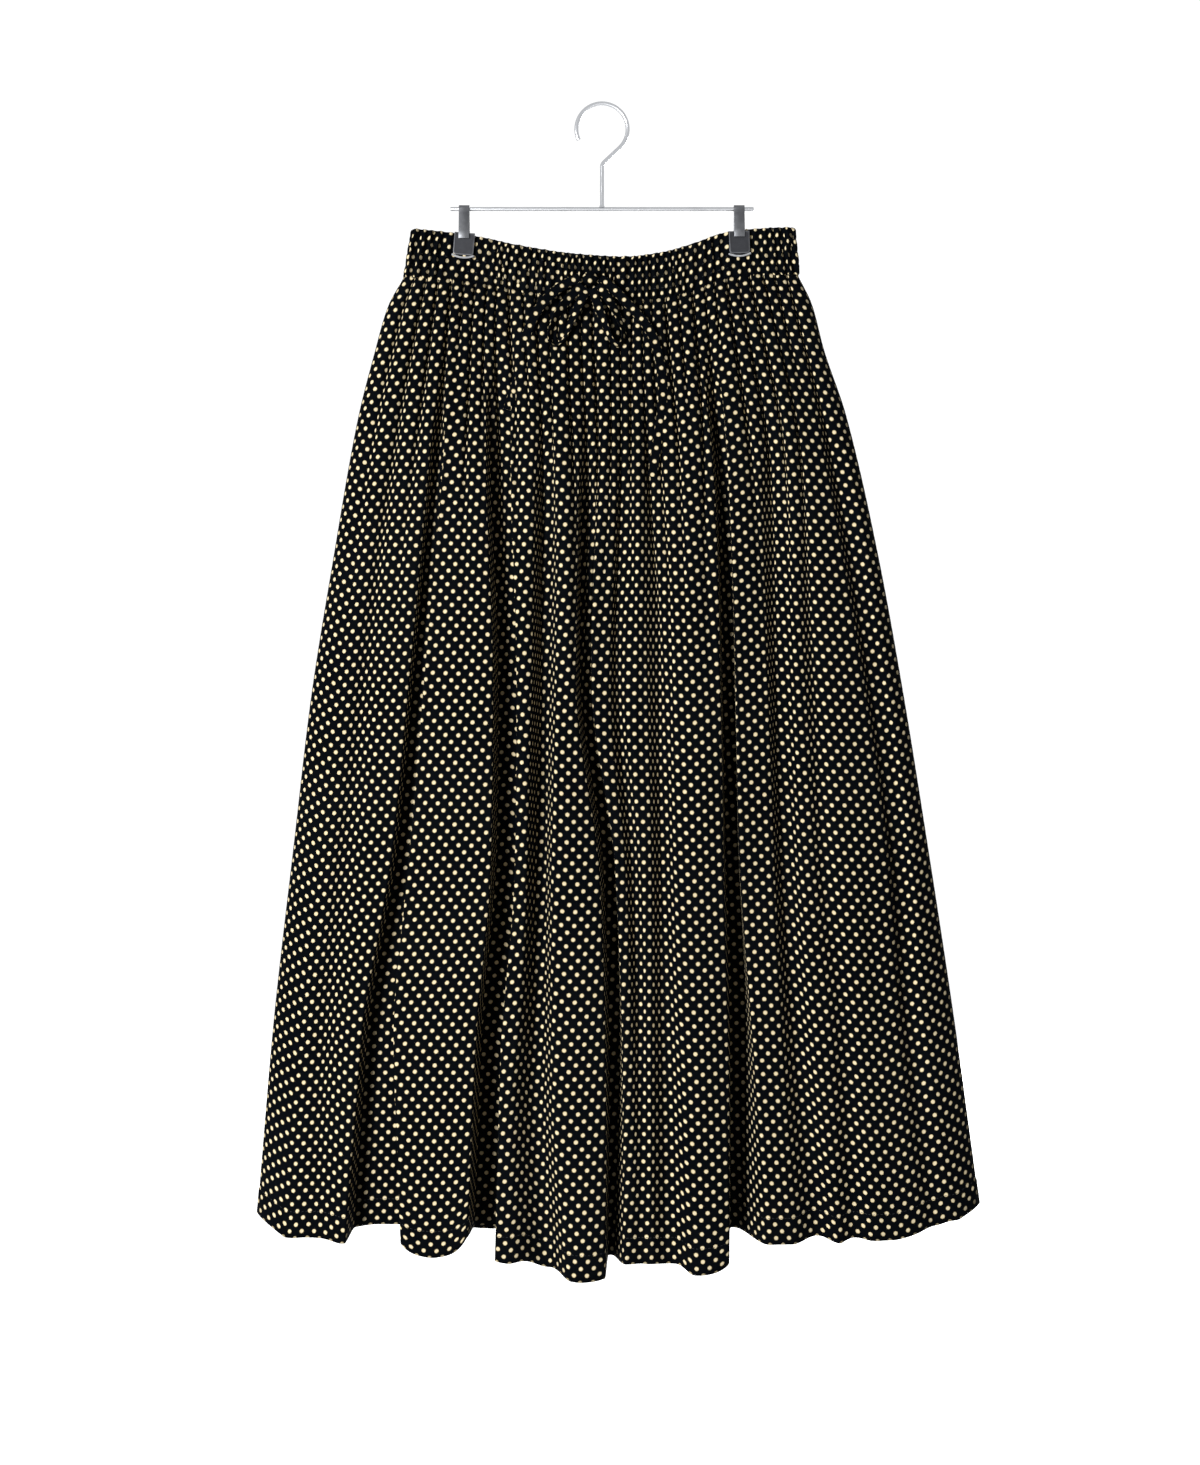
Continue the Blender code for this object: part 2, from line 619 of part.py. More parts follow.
def build_lip(clip):
    """The soft edge that shows under the front plate, curved down at its middle."""
    half = CLIP_WIDTH / 2 + LIP_PROUD
    middle = clip.x * MM
    bottom = clip.top * MM - CLIP_HEIGHT
    y = -(CLIP_INSIDE / 2 + LIP_THICK / 2)
    points = []
    for across in np.linspace(-1.0, 1.0, 9):
        points.append(Vector((middle + half * across, y, bottom - LIP_DROP * (1 - across**2))))
    turn = clip_turn(clip)
    name = f"clip_{clip.side}_lip"
    add_object(name, wire_curve(name, [turn @ point for point in points], LIP_THICK), CLIP_LIP)


def build_clips():
    for clip in CLIPS:
        build_plate(clip, f"clip_{clip.side}_front", -1)
        build_plate(clip, f"clip_{clip.side}_back", 1)
        build_yoke(clip)
        build_lip(clip)


def main():
    for obj in list(bpy.data.objects):
        bpy.data.objects.remove(obj, do_unlink=True)
    for name in ("gathered_skirt", "helpers"):
        bpy.context.scene.collection.children.link(bpy.data.collections.new(name))
    for panel in PANELS:
        build_panel(panel)
    build_waistband()
    build_drawstring()
    build_hanger_wire()
    build_clips()


main()
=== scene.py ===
"""Dresses a gathered skirt of dotted cotton that hangs by its waistband from a clip hanger.

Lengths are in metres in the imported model's frame: the origin is the inside of the hanger's hook at
its top, X runs to the right as the front is seen, the front faces -Y and Z is up. The cloth has the
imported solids' outline and folds, with finer gathers, creases, a turned-up hem and its stitches.
"""

import functools
import math
from collections import namedtuple

import bmesh
import bpy
import numpy as np
from bpy.props import FloatProperty, FloatVectorProperty, PointerProperty
from mathutils import Matrix, Vector


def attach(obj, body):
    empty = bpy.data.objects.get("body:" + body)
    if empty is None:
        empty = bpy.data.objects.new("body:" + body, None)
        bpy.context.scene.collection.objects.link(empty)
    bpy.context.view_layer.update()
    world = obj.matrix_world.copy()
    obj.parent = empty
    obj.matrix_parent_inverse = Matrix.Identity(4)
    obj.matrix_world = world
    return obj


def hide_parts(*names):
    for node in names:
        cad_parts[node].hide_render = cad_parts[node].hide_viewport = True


bl_info = {
    "name": "Gathered Skirt",
    "version": (1, 0, 0),
    "blender": (4, 5, 0),
    "location": "3D View > Sidebar > Skirt",
    "description": "Models a gathered skirt of dotted cotton on its clip hanger",
    "category": "Object",
}

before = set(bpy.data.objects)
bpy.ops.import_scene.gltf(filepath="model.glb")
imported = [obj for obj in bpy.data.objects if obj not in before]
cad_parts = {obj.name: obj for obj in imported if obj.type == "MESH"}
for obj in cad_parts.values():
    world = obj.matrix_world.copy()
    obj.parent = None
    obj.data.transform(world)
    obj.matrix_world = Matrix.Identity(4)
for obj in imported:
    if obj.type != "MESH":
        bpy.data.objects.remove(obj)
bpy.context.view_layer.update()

MM = 0.001
GAP = 0.3 * MM
GOLDEN = 0.618

# Cloth.
BAND_RIPPLE = 1.3 * MM
BAND_RIPPLES = 100
BAND_SQUARENESS = 0.18
PINCH_REACH = 21.0
GATHERS = 33
GATHER_DEPTH = 12.0 * MM
GATHER_SINK = 3.5 * MM
WAIST_Z = -105 * MM

# Shares of the skirt's length: how far the creases reach, where the gathers end, over what length a fold
# begins, and where it has its figures for mid length. Then how squarely a panel closes at its sides.
SHORTEST_CREASE = 0.045
LONGEST_CREASE = 0.48
GATHERS_END = 0.42
FOLD_BEGINS_OVER = 0.14
MID_LENGTH = 0.55
SIDE_ROUNDNESS = 4

# Hanger.
WIRE = 3.6 * MM
HOOK_INSIDE = 40 * MM
HOOK_TIP_DEGREES = 205
NECK_DEGREES = -47
BAR_Z = -88 * MM
BAR_HALF = 129 * MM
CLIP_WIDTH = 17.4 * MM
CLIP_HEIGHT = 19.0 * MM
CLIP_PLATE = 1.2 * MM
CLIP_CORNER = 2.6 * MM
CLIP_INSIDE = 8.6 * MM
YOKE_WIDTH = 9.0 * MM
YOKE_THICK = 1.2 * MM
YOKE_FOOT = 5.0 * MM
YOKE_KNEE = 1.5 * MM
YOKE_NECK = 4.0 * MM
YOKE_STEP_DEGREES = 15
LIP_THICK = 1.8 * MM
LIP_DROP = 2.2 * MM
LIP_PROUD = 0.8 * MM

# How round the edges of the hardware are, in width, steps and from what angle. Then a plate's pressed
# middle: its distance from the edges, and the slope down to it. Next, the weld of the stem on the bar:
# how far each ring lies below the one before it, and how much it grows. Last, how squarely a face looks
# the way that it is picked for, and the angles up to which the pieces are shaded smooth.
Rounding = namedtuple("Rounding", "width steps degrees")
PLATE_ROUNDING = Rounding(0.22 * MM, 3, 50)
YOKE_ROUNDING = Rounding(0.25 * MM, 2, 50)
LIP_ROUNDING = Rounding(0.5 * MM, 3, 60)
BAR_ROUNDING = Rounding(0.9 * MM, 4, 90)
PRESSED_RIM = 1.1 * MM
PRESSED_SLOPE = 0.25 * MM
PRESSED_DEPTH = 0.28 * MM
WELD_HIGH = 2.0 * MM
WELD_RINGS = ((1.2 * MM, 1.12), (1.6 * MM, 1.4))
FACING = 0.9
SMOOTH_DEGREES = 40
LIP_SMOOTH_DEGREES = 50

# The waistband's edges below WAIST_Z, in millimetres: it hangs lower between the two clips.
WaistLine = namedtuple("WaistLine", "x top seam")
WAIST_LINE = (
    WaistLine(-165, 0.0, 41.7),
    WaistLine(-117, 4.7, 46.7),
    WaistLine(-70, 14.6, 55.0),
    WaistLine(-18, 22.1, 61.0),
    WaistLine(19, 24.1, 63.0),
    WaistLine(50, 20.5, 61.5),
    WaistLine(78, 12.8, 54.5),
    WaistLine(108, 2.6, 44.0),
    WaistLine(133, 0.0, 41.0),
    WaistLine(165, -0.8, 40.0),
)

# The waistband's sections from its seam to its top edge: ends in X, and half its depth in Y.
BandLevel = namedtuple("BandLevel", "share left right half_depth pinch")
BAND_LEVELS = (
    BandLevel(0.0, -168.3, 167.5, 7.4, 0.35),
    BandLevel(0.48, -165.0, 165.2, 7.0, 1.0),
    BandLevel(1.0, -161.5, 163.2, 6.6, 1.0),
)

# The skirt's outline at shares of its length: sides in X, depth of the fold floor, height of the
# folds above it, and how far their crests lean to the right.
Level = namedtuple("Level", "share left right floor height lean")
LEVELS = (
    Level(0.00, -169.0, 167.0, 6.5, 0.0, 0.0),
    Level(0.03, -182.0, 178.5, 8.5, 4.5, 0.0),
    Level(0.08, -193.5, 189.0, 9.5, 11.0, 1.0),
    Level(0.15, -207.5, 207.5, 10.5, 19.0, 3.0),
    Level(0.30, -228.5, 234.5, 12.0, 29.0, 5.0),
    Level(0.45, -247.5, 256.0, 13.5, 34.5, 6.0),
    Level(0.60, -261.5, 275.0, 14.5, 39.5, 6.5),
    Level(0.80, -279.5, 299.0, 16.0, 45.5, 6.0),
    Level(1.00, -293.0, 320.5, 17.0, 51.0, 4.0),
)

# Each fold line of a panel, left to right: the gather that it drops from, its X at a fifth of the
# length and at each fifth below, the share where it starts, its depth against the fold height at mid
# length and at the hem, and its half widths to each side there. Then the hem's drop below WAIST_Z in
# it, and the height and the hem's drop of the crest to its right. Then the shares of its half widths
# at the hem that a deep fold's walls take up, beside its flat floor, and how far in millimetres the
# hem rises at its two edges.
PATH_SHARES = (0.0, 0.2, 0.4, 0.6, 0.8, 1.0)
Fold = namedtuple(
    "Fold",
    "gather path start mid_depth hem_depth mid_left mid_right hem_left hem_right "
    "drop crest crest_drop walls rounding",
    defaults=((0.30, 0.25), (10.0, 10.0)),
)
FRONT_FIRST_CREST = (0.62, 852.0)
FRONT_FOLDS = (
    Fold(2, (-180, -200, -218, -234, -243), 0.10, 0.30, 0.15, 14, 18, 20, 24, 851, 0.66, 854),
    Fold(
        4, (-143, -158, -173, -191, -192), 0.05, 0.85, 1.00, 6, 7, 25, 22, 843, 0.76, 864,
        walls=(0.22, 0.08), rounding=(0, 12),
    ),
    Fold(
        8, (-90, -86, -88, -99, -101), 0.02, 0.95, 0.95, 10, 10, 14, 9, 843, 0.86, 868,
        walls=(0.30, 0.05), rounding=(18, 3),
    ),
    Fold(11, (-53, -56, -60, -61, -50), 0.08, 0.52, 0.42, 9, 14, 32, 20, 873, 1.00, 881, (1.0, 0.85)),
    Fold(15, (-18, -22, -3, 2, 3), 0.08, 0.70, 0.75, 5, 9, 4, 14, 866, 0.80, 868, (0.40, 1.00), (3, 0)),
    Fold(18, (13, 7, 20, 26, 29), 0.06, 0.32, 0.05, 7, 10, 8, 10, 868, 0.78, 868),
    Fold(20, (36, 41, 44, 47, 52), 0.04, 0.36, 0.22, 10, 14, 16, 20, 869, 0.88, 877),
    Fold(
        25, (96, 100, 102, 106, 107), 0.01, 0.98, 0.96, 6, 7, 5, 30, 845, 0.66, 853,
        walls=(0.40, 1.00), rounding=(9, 0),
    ),
    Fold(28, (138, 143, 148, 159, 177), 0.08, 0.55, 0.28, 10, 16, 22, 22, 848, 0.60, 854),
    Fold(30, (165, 173, 181, 198, 208), 0.20, 0.22, 0.22, 10, 14, 14, 18, 850, 0.58, 852),
    Fold(32, (194, 222, 244, 257, 278), 0.05, 0.60, 0.20, 9, 15, 16, 18, 842, 0.55, 838),
)
BACK_FIRST_CREST = (0.60, 846.0)
BACK_FOLDS = (
    Fold(3, (-175, -196, -214, -227, -236), 0.06, 0.45, 0.40, 10, 14, 14, 18, 845, 0.68, 851),
    Fold(7, (-121, -133, -149, -158, -166), 0.03, 0.85, 0.92, 10, 14, 16, 20, 849, 0.74, 858),
    Fold(11, (-70, -79, -84, -90, -86), 0.08, 0.50, 0.45, 9, 12, 14, 16, 855, 0.76, 863),
    Fold(14, (-30, -33, -37, -33, -31), 0.02, 0.90, 0.88, 9, 14, 12, 18, 856, 0.80, 866),
    Fold(18, (22, 28, 30, 35, 44), 0.06, 0.55, 0.60, 10, 14, 16, 14, 857, 0.80, 864),
    Fold(22, (72, 84, 97, 107, 113), 0.03, 0.92, 0.95, 10, 15, 14, 20, 850, 0.72, 857),
    Fold(26, (126, 143, 159, 175, 192), 0.08, 0.48, 0.42, 10, 14, 16, 16, 848, 0.66, 853),
    Fold(30, (176, 203, 227, 247, 264), 0.04, 0.75, 0.70, 10, 14, 14, 16, 838, 0.60, 841),
)
HEM_CORNER_DROPS = (835.5, 827.0)

# The two clips: place along the bar, top of the plate and its turn as the front is seen.
Clip = namedtuple("Clip", "side x top turn")
CLIPS = (
    Clip("left", -117.1, -109.0, -5.0),
    Clip("right", 116.6, -107.6, 2.0),
)

# The knot's middle and its half sizes in millimetres, its mesh's rows and turns, and how far its first
# row lies from the pole. In half sizes: the turn that stands out round its middle, the grooves beside
# that, the creases and how they run down and across, and how much wider it is.
KNOT = (-10.2, -13.6, -149.5)
KNOT_RADII = (6.2, 4.4, 5.6)
KNOT_ROWS = 33
KNOT_TURNS = 48
KNOT_POLE = 0.001
Wrap = namedtuple("Wrap", "height place reach")
OUTER_TURN = Wrap(0.12, 0.0, 0.34)
KNOT_GROOVES = Wrap(-0.10, 0.5, 0.12)
KNOT_CREASES = Wrap(0.025, 0.0, 0.5)
CREASES_DOWN = 9
CREASES_ACROSS = 3
KNOT_WIDER = 1.02

# The drawstring's routes from the knot outwards, in millimetres.
CORD_ROUTES = {
    "drawstring_loop_left": (
        (-16.5, -15.0, -155.5),
        (-27.0, -18.0, -166.0),
        (-38.0, -23.5, -182.0),
        (-44.0, -25.5, -199.0),
        (-41.0, -26.0, -208.0),
        (-33.0, -25.0, -203.0),
        (-26.0, -25.0, -188.0),
        (-18.0, -21.5, -170.0),
        (-12.6, -15.5, -158.5),
    ),
    "drawstring_loop_right": (
        (-4.0, -15.0, -155.5),
        (4.0, -18.0, -166.0),
        (13.0, -22.5, -182.0),
        (18.0, -24.5, -198.0),
        (15.0, -25.0, -207.0),
        (8.0, -25.0, -203.0),
        (2.0, -25.0, -189.0),
        (-4.0, -21.5, -172.0),
        (-8.0, -15.5, -158.5),
    ),
    "drawstring_tail_left": (
        (-18.8, -14.0, -149.0),
        (-30.0, -15.5, -154.0),
        (-42.0, -18.5, -163.0),
        (-52.0, -23.5, -175.0),
        (-61.0, -24.5, -192.0),
        (-68.0, -24.5, -214.0),
        (-72.0, -25.0, -238.0),
        (-79.0, -26.0, -262.0),
    ),
    "drawstring_tail_right": (
        (-1.6, -14.0, -149.5),
        (8.0, -15.5, -157.0),
        (20.0, -19.5, -170.0),
        (32.0, -24.0, -184.0),
        (42.0, -25.0, -199.0),
        (48.0, -26.0, -218.0),
        (51.0, -28.0, -240.0),
        (50.0, -30.5, -264.0),
        (46.0, -32.0, -292.0),
        (42.0, -33.5, -319.0),
    ),
}

# Detail that the solids leave out. Small creases: the shares of the length between which they show,
# their X in millimetres at the top, middle and bottom, how far they stand out, and their width. Each
# fades out to its two ends.
CREASE_FADE_POWER = 0.7
Crease = namedtuple("Crease", "start end top middle bottom height width")
FRONT_CREASES = (
    Crease(0.13, 0.47, -132, -146, -155, 2.0, 4),
    Crease(0.24, 0.82, -67, -71, -67, 2.5, 5),
    Crease(0.30, 0.88, -50, -55, -50, -2.0, 4),
    Crease(0.20, 0.54, -33, -33, -16, 1.8, 4),
    Crease(0.20, 0.54, 26, 24, 21, 2.0, 4),
    Crease(0.36, 0.60, 52, 51, 49, -1.6, 4),
    Crease(0.06, 0.24, 149, 150, 151, 2.0, 5),
    Crease(0.61, 0.82, 185, 190, 196, 2.0, 6),
    Crease(0.61, 0.75, 219, 223, 228, -1.5, 5),
    Crease(0.61, 0.79, 208, 214, 222, 1.6, 5),
    Crease(0.56, 0.74, 245, 250, 256, -1.6, 5),
    Crease(0.61, 0.75, -197, -210, -225, -1.8, 6),
    Crease(0.24, 0.35, -174, -176, -178, -1.6, 5),
    Crease(0.24, 0.40, -214, -223, -231, 1.8, 5),
    Crease(0.74, 0.89, -237, -246, -254, -1.6, 6),
)
BACK_CREASES = (
    Crease(0.12, 0.45, -150, -158, -168, 2.0, 5),
    Crease(0.28, 0.80, -112, -120, -124, -1.8, 5),
    Crease(0.20, 0.55, -58, -62, -66, 2.0, 4),
    Crease(0.35, 0.86, -8, -4, 2, 2.2, 5),
    Crease(0.22, 0.50, 48, 52, 58, -1.6, 4),
    Crease(0.30, 0.78, 66, 70, 74, 2.0, 5),
    Crease(0.16, 0.42, 124, 134, 142, 1.8, 4),
    Crease(0.55, 0.80, 138, 146, 152, -1.6, 6),
    Crease(0.58, 0.78, 214, 222, 230, 1.8, 6),
    Crease(0.60, 0.82, -200, -208, -218, -1.6, 6),
    Crease(0.20, 0.38, -206, -214, -222, 1.6, 5),
)

# The cloth's slow waviness: turns across and down, where each begins, and its height in millimetres. It
# fades in below the seam, and a panel's shift moves it on.
WAVE_SHARES = (0.0, 0.1, 1.0)
WAVE_HEIGHTS = (0.0, 1.0, 1.0)
WAVE_SHIFT = 2.0
Wave = namedtuple("Wave", "across down phase height")
WAVES = (
    Wave(3.1, 1.7, 0.15, 0.7),
    Wave(-5.3, 2.9, 0.62, 0.45),
    Wave(9.7, 4.1, 0.33, 0.3),
)

Panel = namedtuple("Panel", "name node out folds first_crest height_scale gather_shift creases")
PANELS = (
    Panel("front_panel", "skirt_front", -1, FRONT_FOLDS, FRONT_FIRST_CREST, 1.0, 0.0, FRONT_CREASES),
    Panel("back_panel", "skirt_back", 1, BACK_FOLDS, BACK_FIRST_CREST, 0.78, 0.37, BACK_CREASES),
)

# The gathers: the powers of their crests from the seam down, the power, closing and strength of the
# creases between them, and how unevenly and how sharply these end. Then how the gathers swell below the
# seam and how sharply they end, and how uneven they are: in height, with the turns of that for each
# gather and down the cloth, and in place, with the turns of a slow sway and of a quick one.
CREST_SHARES = (0.0, 0.06, 0.22)
CREST_POWERS = (5.0, 4.0, 2.4)
CREASE_POWER = 0.6
CREASE_CLOSING = 0.14
CREASE_STRENGTH = 0.97
CREASE_SPREAD_POWER = 1.2
CREASE_END_POWER = 2.2
SWELL_SHARES = (0.0, 0.02, 0.05)
SWELL_HEIGHTS = (0.4, 0.9, 1.0)
GATHER_END_POWER = 2.0
GATHER_UNEVENNESS = 0.12
UNEVEN_EACH = 0.31
UNEVEN_DOWN = 0.9
GATHER_SWAY = 0.22
SLOW_ACROSS = 5
SLOW_DOWN = 2
QUICK_ACROSS = 13
QUICK_SHARE = 0.5

# The deep folds: the shares of their half widths at mid length that the walls take up, from what depth
# to what depth a fold turns from a soft one to a deep one, how much more than the crests their floors
# lean, and how far and how steeply the rounding of the hem at their edges dies away.
MID_WALLS = (0.30, 0.06)
STEEP_FROM = 0.4
STEEP_TO = 0.8
FLOOR_LEAN = 0.30
ROUNDING_REACH = 9.0 * MM
ROUNDING_POWER = 18

# The cloth laid flat: its width, its length, and the length that its print covers from seam to hem. The
# rest is how much more spare cloth hides in a deep fold than in the crease of a gather, how little of
# that on its floor, how far in its walls begin, and how narrow a crease is.
CLOTH_WIDTH = 0.91
FREE_LENGTH = 0.815
FOLD_HIDES = 8.0
FLOOR_HIDES = 0.03
FLOOR_POWER = 4
WALLS_BEGIN = 0.01
PINCH_POWER = 24

# A panel's mesh: its columns for each gather, the steps that they are chosen from and how far they
# follow the flat cloth. Then its rows, in spans with a start, an end and a count, and at the hem.
PER_GATHER = 14
FINE_STEPS = 8000
CLOTH_PULL = 0.35
ROW_SPANS = ((0.0, 0.012, 5), (0.012, 0.2, 26), (0.2, 0.955, 50))
HEM_SHARES = (0.955, 0.965, 0.970, 0.973, 0.976, 0.984, 0.992, 1.0)

# Sewing: where the hem's stitches run, and how far they draw the cloth in and over what share. Then the
# height, length and reach of the small ripples beside them, what is left of these at the hem, and how
# fast they rise from the side edges.
HEM_STITCH_SHARE = 0.973
HEM_PUCKER = 0.3 * MM
HEM_PUCKER_REACH = 0.003
HEM_RIPPLE = 0.25 * MM
HEM_RIPPLE_PITCH = 9.2 * MM
HEM_RIPPLE_REACH = 0.012
HEM_RIPPLE_LEFT = 0.6
HEM_RIPPLE_RISE = 40

# A stitch: its thickness, how deep its ends sink, the length of its middle, and its share of the hem's
# stitch pitch or its length in the band. Then how far the hem's stitches keep from the side edges, the
# steps that they are placed from, and how far on the thread's direction is read.
STITCH_THICK = 0.4 * MM
STITCH_SINK = 0.6
STITCH_MIDDLE = 0.2
STITCH_SHARE = 0.72
BAND_STITCH = 2.6 * MM
STITCHES_FROM = 0.002
STITCH_STEPS = 4000
STITCH_AHEAD = 0.5 * MM

# Where a panel goes behind the band: how far each row rises, what part of the gathers is pressed flat
# and how far up the cloth it lies. Then, where the hem turns up inside, each row's share of the length,
# how far in it lies, and how far on along the cloth; the last lies at the hem's width. Last, how fast the
# turned cloth leaves the face from the panel's side edges, where the two meet.
Tuck = namedtuple("Tuck", "rise pressed cloth")
TUCKS = (Tuck(3.0, 0.55, 3.0), Tuck(0.3, 0.25, 0.3))
TUCK_DEPTH = 4.6 * MM
HemTurn = namedtuple("HemTurn", "share wall cloth")
HEM_TURNS = (HemTurn(0.9995, 0.6, 0.8), HemTurn(0.985, 1.15, 12.5), HemTurn(0.9745, 1.2, None))
TURN_RISE = 60

# How far the bake map keeps from the edges of its square.
BAKE_MARGIN = 0.002

# The waistband: columns for each ripple, steps of the fine loop, its cloth laid flat, the depth of the
# ripples, what part the clips press out of it, and the power of their crests.
BAND_DETAIL = 8
LOOP_STEPS = 6000
BAND_CUT = 1.04
BAND_HIGH = 0.041
RIPPLE_DEPTH = 4.0 * MM
PRESSED = 0.45
RIPPLE_POWER = 1.6

# How uneven the ripples are: the least height, the spread above it and where that starts, how far each
# is out of line with the next and how that changes from one to the next and up the band, and the slow
# sways, with turns round the band, turns up it and their reach. Then how high the ripples stand near
# the band's two edges.
RIPPLE_LEAST = 0.82
RIPPLE_SPREAD = 0.36
RIPPLE_START = 0.3
RIPPLE_JITTER = 0.10
JITTER_ROUND = 0.37
JITTER_UP = 1.3
Sway = namedtuple("Sway", "round up reach")
SWAYS = (Sway(9, 0.8, 0.30), Sway(23, 1.7, 0.18))
RIM_SHARES = (0.0, 0.05, 0.95, 1.0)
RIM_HEIGHTS = (0.75, 1.0, 1.0, 0.7)

# The rows of stitches through the elastic, what part of the ripples each takes away and over what share.
ELASTIC_ROWS = (0.25, 0.5, 0.75)
ROW_DRAWS = 0.12
ROW_REACH = 0.035

# The band's rows up its face, and the row whose length its print is spread over. Then its inside, from its
# top edge to its seam: the share of its height, and how far in it lies in millimetres. Then its least
# wall, how round its edges are, how far the ripples scallop them and how steeply, and the cloth that each
# edge takes up, as a share of the band's height.
BAND_SHARES = (0.0, 0.012, *np.linspace(0.03, 0.97, 27), 0.988, 1.0)
PRINT_ROW = 12
BAND_INSIDE = ((1.0, 1.0), (0.96, 1.5), (0.7, 1.5), (0.4, 1.5), (0.1, 1.5), (0.0, 1.0))
BAND_LEAST_WALL = 0.5 * MM
BAND_EDGE_ROUND = 0.5 * MM
BAND_EDGE_REACH = 0.012
BAND_SCALLOP = 0.5 * MM
SCALLOP_POWER = 6
BAND_EDGE_CLOTH = 0.04

# The flat tie: its thickness, the step along it, and its section in half widths and half thicknesses.
# Then the angle past which its edges stay sharp, where its print starts, how far in radians a loop and a
# tail turn on edge at their middles, and how late they begin to.
TIE_THICK = 1.5 * MM
TIE_STEP = 1.5 * MM
TIE_HALF = ((-1.0, 0.0), (-0.93, 0.75), (-0.6, 1.0), (0.0, 1.05), (0.6, 1.0), (0.93, 0.75))
TIE_PROFILE = TIE_HALF + tuple((-side, -face) for side, face in TIE_HALF)
TIE_SHARP_DEGREES = 50
TIE_PRINT_START = 3.0 * MM
LOOP_TWIST = 1.2
TAIL_TWIST = 0.12
TWIST_POWER = 1.5

# Finishes: the threads' spacing, and how soft the edge of a printed dot is and how ragged.
THREAD = 0.45 * MM
DOT_EDGE = 0.22 * MM
DOT_RAGGED = 0.5 * MM

# The stage. Each lamp has its share of the key light's power.
CAMERA_PLACE = (-0.0017, -2.1, -0.533)
CAMERA_LENS = 60.7
Lamp = namedtuple("Lamp", "name place share")
LAMPS = (
    Lamp("key_light", (-2.45, -3.85, -0.3), 1.0),
    Lamp("back_light", (1.8, 4.0, -0.2), 0.7),
)
LAMP_AIM = (0, 0, -0.5)
LAMP_SIZE = 1.4
FLOOR_Z = -1.35
FLOOR_RADIUS = 6.0
DOME_RADIUS = 7.0

# Points nearer than this are merged, and numbers nearer than that are the same place.
MERGED = 0.01 * MM
SAME_PLACE = 0.001 * MM


def smooth(at, xs, ys):
    """Heights at `at` of the smooth curve through (xs, ys), which doesn't overshoot its points."""
    xs = np.asarray(xs, float)
    ys = np.asarray(ys, float)
    steps = np.diff(xs)
    rises = np.diff(ys) / steps
    slopes = np.zeros(len(xs))
    slopes[0] = rises[0]
    slopes[-1] = rises[-1]
    together = rises[:-1] * rises[1:] > 0
    product = 2 * rises[:-1] * rises[1:]
    total = np.where(together, rises[:-1] + rises[1:], 1.0)
    slopes[1:-1] = np.where(together, product / total, 0.0)
    at = np.clip(np.asarray(at, float), xs[0], xs[-1])
    span = np.clip(np.searchsorted(xs, at, side="right") - 1, 0, len(steps) - 1)
    width = steps[span]
    u = (at - xs[span]) / width
    rise = ys[span + 1] - ys[span]
    start = slopes[span] * width
    end = slopes[span + 1] * width
    return ys[span] + u * (start + u * (3 * rise - 2 * start - end + u * (start + end - 2 * rise)))


def column(rows, field):
    """One named column of a table."""
    return [getattr(row, field) for row in rows]


def band_edge(x, field):
    """Z of the waistband's top edge or of its seam at X."""
    drop = smooth(x / MM, column(WAIST_LINE, "x"), column(WAIST_LINE, field))
    return WAIST_Z - drop * MM


def level(share, field):
    """A figure of the skirt's outline at this share of its length, in metres."""
    return smooth(share, column(LEVELS, "share"), column(LEVELS, field)) * MM


def crease_strengths(panel, share):
    """How much is left of the crease on each side of each gather: they merge unevenly, down to folds."""
    number = np.arange(GATHERS + 1)
    uneven = np.mod((number + panel.gather_shift) * GOLDEN, 1.0)
    reach = SHORTEST_CREASE + (LONGEST_CREASE - SHORTEST_CREASE) * uneven**CREASE_SPREAD_POWER
    for fold in panel.folds:
        reach[fold.gather] = LONGEST_CREASE
    return np.exp(-((share / reach) ** CREASE_END_POWER))


def gather_height(share):
    """How far the gathers stand out from the bottoms of their creases."""
    swell = smooth(share, SWELL_SHARES, SWELL_HEIGHTS)
    return swell * GATHER_DEPTH * np.exp(-((share / GATHERS_END) ** GATHER_END_POWER))


def fold_value(share, start, middle, end):
    """A fold's figure down its length: its value at mid length, and the one it has at the hem."""
    begun = smooth(share, (start, start + FOLD_BEGINS_OVER), (0.0, 1.0))
    return begun * smooth(share, (0.0, MID_LENGTH, 1.0), (middle, middle, end))


def valley(distance, reaches, walls):
    """1 on the fold's floor and 0 at its half width to each side, of which its walls take a share."""
    reach = np.where(distance < 0, *reaches)
    wall = np.where(distance < 0, *walls)
    rise = np.clip((1.0 - np.abs(distance) / reach) / wall, 0.0, 1.0)
    return 0.5 - 0.5 * np.cos(math.pi * rise)


def fold_marks(panel):
    """Where the folds, and the crests between them, are across the panel."""
    marks = [0.0] + [fold.gather / GATHERS for fold in panel.folds] + [1.0]
    crests = [(a + b) / 2 for a, b in zip(marks, marks[1:])]
    return marks, crests


def moved_in(x, y, wall, inward, closed):
    """The curve (x, y) moved by `wall` to the side that `inward` names, with mitred corners."""
    points = np.stack([x, y], axis=1)
    if closed:
        before = points - np.roll(points, 1, axis=0)
        after = np.roll(points, -1, axis=0) - points
    else:
        runs = np.diff(points, axis=0)
        before = np.concatenate([runs[:1], runs])
        after = np.concatenate([runs, runs[-1:]])
    before /= np.linalg.norm(before, axis=1)[:, None]
    after /= np.linalg.norm(after, axis=1)[:, None]
    along = before + after
    along /= np.maximum(np.linalg.norm(along, axis=1), 1e-9)[:, None]
    across = inward * np.stack([-along[:, 1], along[:, 0]], axis=1)
    normal = inward * np.stack([-before[:, 1], before[:, 0]], axis=1)
    lean = np.clip((across * normal).sum(axis=1), 0.5, 1.0)
    moved = points + across * (wall / lean)[:, None]
    return moved[:, 0], moved[:, 1]


